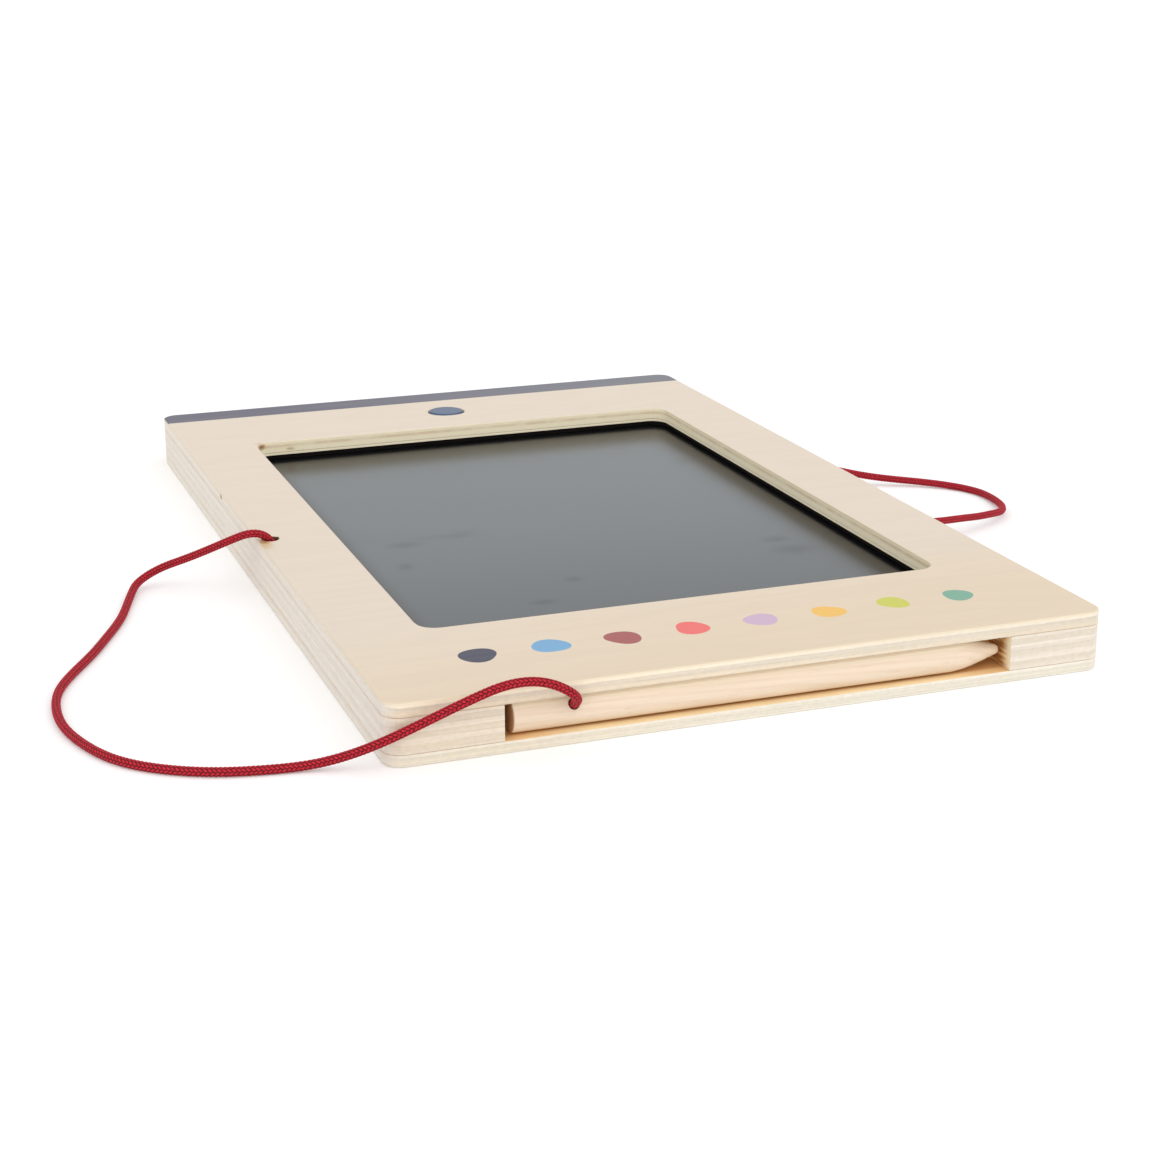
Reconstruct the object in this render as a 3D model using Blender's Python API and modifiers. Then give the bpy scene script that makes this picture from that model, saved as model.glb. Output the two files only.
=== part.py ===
"""Wooden LCD writing tablet with a tethered wooden stylus.

Three plywood layers hold a writing panel behind a window.  The middle layer is
cut out for the panel, for the circuit board and battery under the erase button,
and for the stylus, which lies in a slot in the front edge.  A red cord ties the
stylus to the left rail, and a loop of the same cord is knotted into the right edge.

Metres, +Z up.  The origin is on the table under the centre of the tablet, +Y
points to the erase button, and the stylus slot opens towards -Y.
"""
import math

import bmesh
import bpy
import numpy as np
from mathutils import Matrix, Vector

# Plywood body
BODY_WIDTH = 0.1666
BODY_LENGTH = 0.2600
CORNER_RADIUS = 0.0042
TOP_THICKNESS = 0.0032
MIDDLE_THICKNESS = 0.0079
BOTTOM_THICKNESS = 0.0027
GLUE_LINE = 0.0001
SEAT_GAP = 0.0003
EDGE_ROUND = 0.0004
SIDE_RAIL = 0.0195
FRONT_RAIL = 0.0416
WINDOW_RADIUS = 0.0048
BACK_WALL = 0.0065
BAY_WALL = 0.0040
CUT_OVERRUN = 0.0010

# Writing panel, seen through the window
LIP_THICKNESS = 0.0007
PANEL_LAP = 0.0042
PANEL_RADIUS = 0.0020
PANEL_THICKNESS = 0.0012
POCKET_CLEARANCE = 0.0003
BEZEL_THICKNESS = 0.0012
BEZEL_SETBACK = 0.0005
TRAY_SHEET = 0.0015
TRAY_WALL = 0.0016
TRAY_COLUMNS = 2
TRAY_ROWS = 3
SHEET_CORNER = 0.0003

# Erase button and its switch
BUTTON_FROM_BACK = 0.0250
BUTTON_RADIUS = 0.0052
BUTTON_CLEARANCE = 0.0004
BUTTON_PROUD = 0.00025
BUTTON_ROUND = 0.0006
BUTTON_STEM_RADIUS = 0.0025
FLANGE_LAP = 0.00255
FLANGE_THICKNESS = 0.0012
BUTTON_TRAVEL = 0.0005
SWITCH_WIDTH = 0.0062
SWITCH_HEIGHT = 0.0018
SWITCH_FLOOR = 0.0005
SWITCH_CAVITY_RADIUS = 0.0026
SWITCH_COVER_THICKNESS = 0.0002
PLUNGER_RADIUS = 0.00165
PLUNGER_FLANGE_LAP = 0.0005
PLUNGER_FLANGE_THICKNESS = 0.0004
PLUNGER_HEIGHT = 0.0006
DOME_THICKNESS = 0.00015
DOME_RISE = 0.0004

# Circuit board
BOARD_WIDTH = 0.0400
BOARD_OVERHANG = 0.0050
BOARD_MARGIN = 0.0015
BOARD_THICKNESS = 0.0008
BOARD_LIFT = 0.0013
LEDGE_WIDTH = 0.0065
BOARD_SCREW_INSET = 0.0028
BOARD_SCREW_RADIUS = 0.0009
BOARD_SCREW_CLEARANCE = 0.0003
BOARD_SCREW_HEAD_LAP = 0.0009
BOARD_SCREW_HEAD_HEIGHT = 0.0008
BOARD_SCREW_GRIP = 0.0035
PAD_WIDTH = 0.0110
CHIP_WIDTH = 0.0050
CHIP_LENGTH = 0.0040
CHIP_HEIGHT = 0.0015
CHIP_FROM_RIGHT = 0.0125
CHIP_LEAD_WIDTH = 0.0004
CHIP_LEAD_PITCH = 0.00127
CHIP_LEAD_REACH = 0.0008
CHIP_LEADS_PER_SIDE = 4

# Flat ribbon from the panel to the board
RIBBON_WIDTH = 0.0100
RIBBON_THICKNESS = 0.0003
RIBBON_FROM_RIGHT = 0.0190
RIBBON_CLEARANCE = 0.0010
RIBBON_TAIL = 0.0024
CONNECTOR_WIDTH = 0.0125
CONNECTOR_DEPTH = 0.0040
CONNECTOR_HEIGHT = 0.0016
CONNECTOR_MOUTH = 0.0010
CONNECTOR_FROM_FRONT = 0.0016

# Battery compartment under the bottom plate
CELL_DIAMETER = 0.0200
CELL_THICKNESS = 0.0025
CELL_RIM = 0.0012
CELL_STEP = 0.0002
WELL_CLEARANCE = 0.0004
BOX_CEILING = 0.0012
BOX_HEADROOM = 0.0012
BOX_RIM = 0.0025
BOX_BUTTON_GAP = 0.00125
BAY_CLEARANCE = 0.0005
CONTACT_SPACE = 0.0010
CONTACT_THICKNESS = 0.00025
CONTACT_WIDTH = 0.0030
CONTACT_CLEARANCE = 0.0002
CONTACT_TAIL = 0.0014
CONTACT_OFFSET = 0.0045
CONTACT_LEG = 0.0018
LEAF_DIP = 0.0002
LEAF_REACH = 0.0025
DOOR_MARGIN = 0.0011
DOOR_CLEARANCE = 0.0004
DOOR_RADIUS = 0.0020
DOOR_RECESS = 0.00025
DOOR_SEAT_GAP = 0.0003
DOOR_PAD_CLEARANCE = 0.0008
NOTCH_RADIUS = 0.0020
NOTCH_DEPTH = 0.0010
SCREW_MARGIN = 0.0065
WELL_TO_INSERT = 0.0059
INSERT_RADIUS = 0.0021
INSERT_WALL = 0.0007
INSERT_CLEARANCE = 0.0001
INSERT_LENGTH = 0.0042
SCREW_CLEARANCE = 0.0003
SCREW_HEAD_LAP = 0.0012
SCREW_HEAD_HEIGHT = 0.0011
SCREW_SLOT_WIDTH = 0.0006
SCREW_SLOT_DEPTH = 0.0005
SCREW_GRIP = 0.0030
WIRE_DIAMETER = 0.0009
WIRE_STEP = 0.0013
WIRE_PAD_FROM_LEFT = 0.0010
WIRE_PAD_FROM_END = 0.0045
WIRE_SHARES = ((0.0, 0.0, 0.0), (0.2, 0.04, 0.0), (0.5, 0.2, 0.02), (0.78, 0.5, 0.1),
               (0.93, 0.78, 0.28), (0.99, 0.95, 0.52), (1.0, 1.0, 0.76), (1.0, 1.0, 1.0))

# Stylus and its slot
SLOT_LEFT_WALL = 0.0250
SLOT_RIGHT_WALL = 0.0240
STYLUS_CLEARANCE = 0.00025
STYLUS_FRONT_GAP = 0.00035
STYLUS_BACK_GAP = 0.00035
STYLUS_LEFT_GAP = 0.0020
STYLUS_RIGHT_GAP = 0.0010
STYLUS_TAPER = 0.0123
STYLUS_TAPER_SHARES = ((0.56, 0.33), (0.80, 0.60), (0.93, 0.80), (1.0, 1.0))
STYLUS_TIP_RADIUS = 0.00115
STYLUS_TIP_SHARES = ((0.0, 0.0), (0.7, 0.15), (1.0, 0.6))
STYLUS_END_ROUND = 0.0006
STYLUS_HOLE_FROM_END = 0.0133
STYLUS_HOLE_ANGLE = math.radians(30)
STYLUS_HOLE_DEPTH = 0.0034

# Cords and their knots
CORD_DIAMETER = 0.0020
CORD_CLEARANCE = 0.0003
CORD_STEP = 0.0045
KNOT_RADIUS = 0.0025
KNOT_FLATTEN_SHARE = 0.84
CHAMBER_CLEARANCE = 0.0010
CHAMBER_WALL = 0.0015
TOP_HOLE_RADIUS = 0.0021
TOP_HOLE_FROM_SIDE = 0.0033
TOP_HOLE_Y = -0.0093
SIDE_HOLE_LENGTH = 0.0038
LOOP_SPREAD = 0.0315

# Facets of round shapes
CORNER_STEPS = 6
HOLE_SIDES = 32
ROUND_SIDES = 32
CELL_SIDES = 48
SMALL_SIDES = 16

# Heights of the layers
MIDDLE_LOW = BOTTOM_THICKNESS + GLUE_LINE
MIDDLE_HIGH = MIDDLE_LOW + MIDDLE_THICKNESS
TOP_LOW = MIDDLE_HIGH + GLUE_LINE
TOP_HIGH = TOP_LOW + TOP_THICKNESS

# Battery box, sized round the cell, and the rail that holds it
WELL_RADIUS = CELL_DIAMETER / 2 + WELL_CLEARANCE
OPENING_LENGTH = 2 * (WELL_RADIUS + DOOR_MARGIN)
SCREW_OFFSET = WELL_RADIUS + WELL_TO_INSERT + INSERT_RADIUS
OPENING_WIDTH = DOOR_MARGIN + WELL_RADIUS + SCREW_OFFSET + SCREW_MARGIN
BOX_LENGTH = OPENING_LENGTH + 2 * BOX_RIM
BOX_WIDTH = OPENING_WIDTH + 2 * BOX_RIM
BAY_LENGTH = BOX_LENGTH + 2 * BAY_CLEARANCE
BAY_BACK = BODY_LENGTH / 2 - BACK_WALL
BAY_FRONT = BAY_BACK - BAY_LENGTH
BAY_Y = (BAY_BACK + BAY_FRONT) / 2

# Window and the pocket behind it
WINDOW_WIDTH = BODY_WIDTH - 2 * SIDE_RAIL
WINDOW_BACK = BAY_FRONT - BAY_WALL - POCKET_CLEARANCE - PANEL_LAP
WINDOW_FRONT = -BODY_LENGTH / 2 + FRONT_RAIL
WINDOW_LENGTH = WINDOW_BACK - WINDOW_FRONT
WINDOW_Y = (WINDOW_BACK + WINDOW_FRONT) / 2
PANEL_WIDTH = WINDOW_WIDTH + 2 * PANEL_LAP
PANEL_LENGTH = WINDOW_LENGTH + 2 * PANEL_LAP
LIP_LOW = MIDDLE_HIGH - LIP_THICKNESS
BEZEL_HIGH = LIP_LOW - GLUE_LINE
BEZEL_LOW = BEZEL_HIGH - BEZEL_THICKNESS
PANEL_HIGH = BEZEL_LOW - GLUE_LINE
PANEL_LOW = PANEL_HIGH - PANEL_THICKNESS
TRAY_HIGH = PANEL_LOW - GLUE_LINE

# Erase button, measured down from the top plate
BUTTON_Y = BODY_LENGTH / 2 - BUTTON_FROM_BACK
BUTTON_HIGH = TOP_HIGH + BUTTON_PROUD
BUTTON_HOLE_RADIUS = BUTTON_RADIUS + BUTTON_CLEARANCE
FLANGE_RADIUS = BUTTON_RADIUS + FLANGE_LAP
FLANGE_HIGH = TOP_LOW - SEAT_GAP
FLANGE_LOW = FLANGE_HIGH - FLANGE_THICKNESS

# Circuit board and switch, measured up from the bottom plate
BOARD_LOW = BOTTOM_THICKNESS + BOARD_LIFT
BOARD_HIGH = BOARD_LOW + BOARD_THICKNESS
BOARD_LEFT = -BOARD_OVERHANG
BOARD_RIGHT = BOARD_LEFT + BOARD_WIDTH
BOARD_LENGTH = BAY_LENGTH - 2 * BOARD_MARGIN
BOARD_FRONT = BAY_Y - BOARD_LENGTH / 2
BOARD_BACK = BAY_Y + BOARD_LENGTH / 2
SWITCH_LOW = BOARD_HIGH + GLUE_LINE
SWITCH_HIGH = SWITCH_LOW + SWITCH_HEIGHT
SWITCH_COVER_LOW = SWITCH_HIGH + GLUE_LINE
SWITCH_COVER_HIGH = SWITCH_COVER_LOW + SWITCH_COVER_THICKNESS
PLUNGER_HIGH = SWITCH_COVER_HIGH + PLUNGER_HEIGHT
PLUNGER_FLANGE_HIGH = SWITCH_HIGH - GLUE_LINE
PLUNGER_FLANGE_LOW = PLUNGER_FLANGE_HIGH - PLUNGER_FLANGE_THICKNESS
STEM_LOW = PLUNGER_HIGH + SEAT_GAP
DOME_LOW = SWITCH_LOW + SWITCH_FLOOR + GLUE_LINE
BOARD_SCREW_X = BOARD_RIGHT - BOARD_SCREW_INSET
BOARD_SCREW_YS = (BOARD_FRONT + BOARD_SCREW_INSET, BOARD_BACK - BOARD_SCREW_INSET)

# Battery box and cell, measured down from the top of the bay
BOX_RIGHT = -(FLANGE_RADIUS + BOX_BUTTON_GAP)
BOX_X = BOX_RIGHT - BOX_WIDTH / 2
BOX_HIGH = TOP_LOW - BOX_HEADROOM
WELL_HIGH = BOX_HIGH - BOX_CEILING
CELL_HIGH = WELL_HIGH - CONTACT_SPACE
CELL_LOW = CELL_HIGH - CELL_THICKNESS
OPENING_X = BOX_X
CELL_X = OPENING_X - OPENING_WIDTH / 2 + DOOR_MARGIN + WELL_RADIUS
SCREW_X = CELL_X + SCREW_OFFSET
DOOR_HIGH = BOTTOM_THICKNESS - DOOR_SEAT_GAP
INSERT_LOW = MIDDLE_LOW + SEAT_GAP
INSERT_BORE = INSERT_RADIUS - INSERT_WALL
SCREW_RADIUS = INSERT_BORE - SCREW_CLEARANCE
HEAD_RADIUS = SCREW_RADIUS + SCREW_HEAD_LAP
HEAD_LOW = DOOR_RECESS + GLUE_LINE
HEAD_HIGH = HEAD_LOW + SCREW_HEAD_HEIGHT
BAY_LEFT = BOX_X - BOX_WIDTH / 2 - BAY_CLEARANCE
BAY_RIGHT = BOARD_RIGHT + BOARD_MARGIN

# Stylus and slot
SLOT_LEFT = -BODY_WIDTH / 2 + SLOT_LEFT_WALL
SLOT_RIGHT = BODY_WIDTH / 2 - SLOT_RIGHT_WALL
SLOT_HEIGHT = TOP_LOW - BOTTOM_THICKNESS
STYLUS_RADIUS = SLOT_HEIGHT / 2 - STYLUS_CLEARANCE
STYLUS_Z = BOTTOM_THICKNESS + SLOT_HEIGHT / 2
STYLUS_Y = -BODY_LENGTH / 2 + STYLUS_FRONT_GAP + STYLUS_RADIUS
STYLUS_LEFT = SLOT_LEFT + STYLUS_LEFT_GAP
STYLUS_RIGHT = SLOT_RIGHT - STYLUS_RIGHT_GAP
SLOT_DEPTH = STYLUS_FRONT_GAP + 2 * STYLUS_RADIUS + STYLUS_BACK_GAP
STYLUS_HOLE_X = STYLUS_LEFT + STYLUS_HOLE_FROM_END

# Cord holes and knot chambers
CORD_RADIUS = CORD_DIAMETER / 2
CORD_HOLE_RADIUS = CORD_RADIUS + CORD_CLEARANCE
CHAMBER_RADIUS = KNOT_RADIUS + CHAMBER_CLEARANCE
TOP_HOLE_X = -BODY_WIDTH / 2 + TOP_HOLE_FROM_SIDE
LEFT_CHAMBER_X = -BODY_WIDTH / 2 + CHAMBER_WALL + CHAMBER_RADIUS
RIGHT_CHAMBER_X = BODY_WIDTH / 2 - SIDE_HOLE_LENGTH - CHAMBER_RADIUS
SIDE_HOLE_Z = (MIDDLE_LOW + MIDDLE_HIGH) / 2

# Cord routes, metres: straight out of the hole, then where the cord lies
STYLUS_CORD_ROUTE = [
    (-0.0791, -0.0093, 0.01075), (-0.0794, -0.0094, 0.0119), (-0.0801, -0.0096, 0.0136),
    (-0.0814, -0.0099, 0.0150), (-0.0834, -0.0102, 0.0159), (-0.0859, -0.0102, 0.0160),
    (-0.0885, -0.0093, 0.0151), (-0.0914, -0.0074, 0.0135), (-0.0946, -0.0045, 0.0114),
    (-0.1015, 0.0025, 0.0069), (-0.1049, 0.0051, 0.0050), (-0.1084, 0.0056, 0.0033),
    (-0.1114, 0.0035, 0.0022), (-0.1137, -0.0012, 0.0015), (-0.1162, -0.0092, 0.0011),
    (-0.1194, -0.0197, 0.00105), (-0.1242, -0.0314, 0.00105), (-0.1295, -0.0430, 0.00105),
    (-0.1353, -0.0541, 0.00105), (-0.1397, -0.0646, 0.00105), (-0.1415, -0.0750, 0.00105),
    (-0.1413, -0.0858, 0.00105), (-0.1385, -0.0976, 0.00105), (-0.1330, -0.1087, 0.00105),
    (-0.1250, -0.1163, 0.00105), (-0.1155, -0.1212, 0.00105), (-0.1060, -0.1235, 0.00105),
    (-0.0972, -0.1250, 0.0015), (-0.0900, -0.1276, 0.0036), (-0.0843, -0.1304, 0.0064),
    (-0.0778, -0.1322, 0.0095), (-0.0650, -0.1333, 0.0146), (-0.0590, -0.1336, 0.0163),
    (-0.0530, -0.1341, 0.0165), (-0.0480, -0.1345, 0.0149), (-0.0449, -0.1341, 0.0127),
    (-0.0434, -0.1322, 0.01065), (-0.0430, -0.1298, 0.00903), (-0.0430, -0.12655, 0.00715),
]
CARRY_LOOP_ROUTE = [
    (0.0795, -0.0315, 0.00675), (0.0820, -0.0315, 0.00675), (0.0860, -0.0315, 0.0066),
    (0.0920, -0.0310, 0.0062), (0.0990, -0.0293, 0.0055), (0.1060, -0.0270, 0.0048),
    (0.1125, -0.0245, 0.0040), (0.1181, -0.0216, 0.0033), (0.1228, -0.0184, 0.0026),
    (0.1265, -0.0136, 0.0020), (0.1292, -0.0070, 0.0015), (0.1305, 0.0000, 0.0012),
    (0.1304, 0.0060, 0.00105), (0.1285, 0.0112, 0.00105), (0.1248, 0.0160, 0.0012),
    (0.1196, 0.0202, 0.0015), (0.1140, 0.0233, 0.0019), (0.1085, 0.0257, 0.0025),
    (0.1030, 0.0278, 0.0034), (0.0975, 0.0298, 0.0046), (0.0920, 0.0310, 0.0058),
    (0.0865, 0.0315, 0.0065), (0.0820, 0.0315, 0.00675), (0.0795, 0.0315, 0.00675),
]


def clear_scene():
    for item in list(bpy.data.objects):
        bpy.data.objects.remove(item, do_unlink=True)


def new_collection(name):
    collection = bpy.data.collections.new(name)
    bpy.context.scene.collection.children.link(collection)
    return collection


def new_material(name, colour, roughness, metallic=0.0, alpha=1.0):
    material = bpy.data.materials.new(name)
    material.use_nodes = True
    shader = material.node_tree.nodes["Principled BSDF"]
    shader.inputs["Base Color"].default_value = (*colour, 1.0)
    shader.inputs["Roughness"].default_value = roughness
    shader.inputs["Metallic"].default_value = metallic
    shader.inputs["Alpha"].default_value = alpha
    return material


def put_in(collection, item, material=None):
    """Move an object into one collection and give it one material."""
    for holder in list(item.users_collection):
        holder.objects.unlink(item)
    collection.objects.link(item)
    if material is not None:
        item.data.materials.clear()
        item.data.materials.append(material)
    return item


def as_cutter(item):
    put_in(cutters, item)
    item.hide_render = True
    item.display_type = "WIRE"
    return item


def join_cut(target, other, operation="DIFFERENCE"):
    """Add an exact Boolean that takes another object away from the target, or adds it."""
    modifier = target.modifiers.new(operation.lower() + " " + other.name, "BOOLEAN")
    modifier.operation = operation
    modifier.object = other
    modifier.solver = "EXACT"
    return modifier


def rounded_rectangle(centre, size, radius, steps=CORNER_STEPS):
    """Corner arcs of a rounded rectangle, counter-clockwise, as flat points."""
    cx, cy = centre
    half_x = size[0] / 2 - radius
    half_y = size[1] / 2 - radius
    points = []
    for quarter, (sign_x, sign_y) in enumerate(((1, 1), (-1, 1), (-1, -1), (1, -1))):
        for step in range(steps + 1):
            angle = math.pi / 2 * (quarter + step / steps)
            x = cx + sign_x * half_x + radius * math.cos(angle)
            y = cy + sign_y * half_y + radius * math.sin(angle)
            points.append((x, y))
    return points


def circle_points(centre, radius, sides=HOLE_SIDES):
    points = []
    for side in range(sides):
        turn = 2 * math.pi * side / sides
        points.append((centre[0] + radius * math.cos(turn), centre[1] + radius * math.sin(turn)))
    return points


def weld_to_mesh(item, name, distance=1e-6):
    """Turn an evaluated curve object into a mesh object with its caps welded on."""
    bpy.context.view_layer.update()
    graph = bpy.context.evaluated_depsgraph_get()
    mesh = bpy.data.meshes.new_from_object(item.evaluated_get(graph))
    work = bmesh.new()
    work.from_mesh(mesh)
    bmesh.ops.remove_doubles(work, verts=work.verts, dist=distance)
    work.to_mesh(mesh)
    work.free()
    solid = bpy.data.objects.new(name, mesh)
    solid.matrix_world = item.matrix_world.copy()
    bpy.context.scene.collection.objects.link(solid)
    bpy.data.objects.remove(item, do_unlink=True)
    return solid


def slab(name, outlines, low, high):
    """A flat sheet between two heights, from closed outlines of which the inner ones are holes."""
    curve = bpy.data.curves.new(name, "CURVE")
    curve.dimensions = "2D"
    curve.fill_mode = "BOTH"
    curve.extrude = (high - low) / 2
    for outline in outlines:
        spline = curve.splines.new("POLY")
        spline.points.add(len(outline) - 1)
        for point, (x, y) in zip(spline.points, outline):
            point.co = (x, y, 0.0, 1.0)
        spline.use_cyclic_u = True
    item = bpy.data.objects.new(name + "_curve", curve)
    item.location.z = (low + high) / 2
    bpy.context.scene.collection.objects.link(item)
    return weld_to_mesh(item, name)


def block(name, low, high):
    """A box from its lowest corner to its highest corner."""
    low = Vector(low)
    high = Vector(high)
    bpy.ops.mesh.primitive_cube_add(size=1.0, location=(low + high) / 2)
    item = bpy.context.active_object
    item.name = name
    item.data.transform(Matrix.Diagonal((*(high - low), 1.0)))
    return item


def rod(name, radius, start, end, sides=HOLE_SIDES):
    """A cylinder between two points."""
    start = Vector(start)
    end = Vector(end)
    bpy.ops.mesh.primitive_cylinder_add(vertices=sides, radius=radius, depth=(end - start).length,
                                        location=(start + end) / 2)
    item = bpy.context.active_object
    item.name = name
    item.rotation_mode = "QUATERNION"
    item.rotation_quaternion = (end - start).to_track_quat("Z", "Y")
    return item


def turned(name, profile, location, sides=ROUND_SIDES):
    """A solid turned about Z from a profile that runs from the top of the axis down to its foot."""
    mesh = bpy.data.meshes.new(name)
    mesh.from_pydata([(radius, 0.0, height) for radius, height in profile],
                     [(index, index + 1) for index in range(len(profile) - 1)], [])
    item = bpy.data.objects.new(name, mesh)
    item.location = location
    bpy.context.scene.collection.objects.link(item)
    screw = item.modifiers.new("turn", "SCREW")
    screw.axis = "Z"
    screw.angle = 2 * math.pi
    screw.steps = sides
    screw.render_steps = sides
    screw.use_merge_vertices = True
    screw.merge_threshold = 1e-6
    screw.use_smooth_shade = False
    return item


def quarter_round(centre_radius, centre_height, round_radius, start_angle, steps=3):
    """Points of a quarter arc in a turned profile, going clockwise from the start angle."""
    points = []
    for step in range(steps + 1):
        angle = start_angle - math.pi / 2 * step / steps
        radius = centre_radius + round_radius * math.cos(angle)
        height = centre_height + round_radius * math.sin(angle)
        points.append((radius, height))
    return points


def smooth_sides(item, angle=math.radians(35)):
    """Smooth the round sides of a finished mesh and keep its real edges sharp."""
    item.data.shade_smooth()
    item.data.set_sharp_from_angle(angle=angle)
    return item


def round_rim(item, height, width=EDGE_ROUND):
    """Round the edges of a slab that lie at one height, with a weighted Bevel modifier."""
    work = bmesh.new()
    work.from_mesh(item.data)
    weight = work.edges.layers.float.new("bevel_weight_edge")
    level = height - item.location.z
    for edge in work.edges:
        flat = all(abs(vertex.co.z - level) < 1e-6 for vertex in edge.verts)
        turn = edge.calc_face_angle(0.0)
        if flat and turn > math.radians(60):
            edge[weight] = 1.0
    work.to_mesh(item.data)
    work.free()
    bevel = item.modifiers.new("rounded rim", "BEVEL")
    bevel.width = width
    bevel.segments = 2
    bevel.limit_method = "WEIGHT"
    bevel.use_clamp_overlap = False
    return item


def through_points(points, spacing):
    """Even points on one smooth curve, a natural cubic spline, through a cord's route."""
    route = np.array(points, dtype=float)
    gaps = np.linalg.norm(np.diff(route, axis=0), axis=1)
    knots = np.concatenate([[0.0], np.cumsum(gaps)])
    count = len(route)
    system = np.eye(count)
    right = np.zeros((count, 3))
    for i in range(1, count - 1):
        before, after = gaps[i - 1], gaps[i]
        system[i, i - 1:i + 2] = before, 2 * (before + after), after
        right[i] = 6 * ((route[i + 1] - route[i]) / after - (route[i] - route[i - 1]) / before)
    bend = np.linalg.solve(system, right)

    def place(distance):
        i = min(int(np.searchsorted(knots, distance, side="right")) - 1, count - 2)
        i = max(i, 0)
        gap = gaps[i]
        left = knots[i + 1] - distance
        done = distance - knots[i]
        return (bend[i] * left ** 3 / (6 * gap) + bend[i + 1] * done ** 3 / (6 * gap)
                + (route[i] / gap - bend[i] * gap / 6) * left
                + (route[i + 1] / gap - bend[i + 1] * gap / 6) * done)

    fine = np.array([place(distance) for distance in np.linspace(0.0, knots[-1], 40 * count)])
    run = np.concatenate([[0.0], np.cumsum(np.linalg.norm(np.diff(fine, axis=0), axis=1))])
    steps = max(2, int(round(run[-1] / spacing)))
    marks = np.linspace(0.0, run[-1], steps + 1)
    even = [tuple(np.interp(mark, run, fine[:, axis]) for axis in range(3)) for mark in marks]
    return even, float(run[-1])


def cord(name, route, diameter, spacing, material, resolution=2):
    """A round cord along a route, as a curve with a bevel and filled caps."""
    points, length = through_points(route, spacing)
    curve = bpy.data.curves.new(name, "CURVE")
    curve.dimensions = "3D"
    curve.bevel_depth = diameter / 2
    curve.bevel_resolution = resolution
    curve.use_fill_caps = True
    spline = curve.splines.new("POLY")
    spline.points.add(len(points) - 1)
    for point, place in zip(spline.points, points):
        point.co = (*place, 1.0)
    spline.use_smooth = True
    item = bpy.data.objects.new(name, curve)
    bpy.context.scene.collection.objects.link(item)
    put_in(parts, item, material)
    print(name, "length", round(length, 4), "m,", len(points), "points")
    return item


def strip(name, path, thickness, along, low, high):
    """A thin bent strip: a path in a plane, thickened to one side and drawn from low to high."""
    path = [Vector(point) for point in path]
    offsets = []
    for index, point in enumerate(path):
        before = path[max(index - 1, 0)]
        after = path[min(index + 1, len(path) - 1)]
        if index in (0, len(path) - 1):
            direction = (after - before).normalized()
            offsets.append(point + Vector((-direction.y, direction.x)) * thickness)
        else:
            first = (point - before).normalized()
            second = (after - point).normalized()
            normal = (Vector((-first.y, first.x)) + Vector((-second.y, second.x))).normalized()
            stretch = 1.0 / normal.dot(Vector((-first.y, first.x)))
            offsets.append(point + normal * thickness * stretch)
    outline = [tuple(point) for point in path] + [tuple(point) for point in reversed(offsets)]
    item = slab(name, [outline], low, high)
    if along == "Y":
        turn = Matrix(((1, 0, 0, 0), (0, 0, 1, 0), (0, 1, 0, 0), (0, 0, 0, 1)))
    else:
        turn = Matrix(((0, 0, 1, 0), (1, 0, 0, 0), (0, 1, 0, 0), (0, 0, 0, 1)))
    item.data.transform(turn @ item.matrix_world)
    item.matrix_world = Matrix.Identity(4)
    work = bmesh.new()
    work.from_mesh(item.data)
    bmesh.ops.recalc_face_normals(work, faces=work.faces)
    work.to_mesh(item.data)
    work.free()
    return item


def knot(name, centre, material):
    """The outer shape of a small overhand knot, pulled tight."""
    bpy.ops.mesh.primitive_uv_sphere_add(segments=SMALL_SIDES, ring_count=SMALL_SIDES // 2,
                                         radius=KNOT_RADIUS, location=centre)
    item = bpy.context.active_object
    item.name = name
    item.data.transform(Matrix.Diagonal((1.0, KNOT_FLATTEN_SHARE, 1.0, 1.0)))
    put_in(parts, item, material)
    item.data.shade_smooth()
    return item


# Plywood layers


def body_outline():
    return rounded_rectangle((0.0, 0.0), (BODY_WIDTH, BODY_LENGTH), CORNER_RADIUS)


def window_outline(grow=0.0):
    size = (WINDOW_WIDTH + 2 * grow, WINDOW_LENGTH + 2 * grow)
    return rounded_rectangle((0.0, WINDOW_Y), size, WINDOW_RADIUS + grow)


def make_top_plate():
    outlines = [
        body_outline(),
        window_outline(),
        circle_points((0.0, BUTTON_Y), BUTTON_HOLE_RADIUS),
        circle_points((TOP_HOLE_X, TOP_HOLE_Y), TOP_HOLE_RADIUS, SMALL_SIDES),
    ]
    plate = slab("top_plate", outlines, TOP_LOW, TOP_HIGH)
    put_in(parts, plate, plywood)
    smooth_sides(plate)
    return round_rim(plate, TOP_HIGH)


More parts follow.
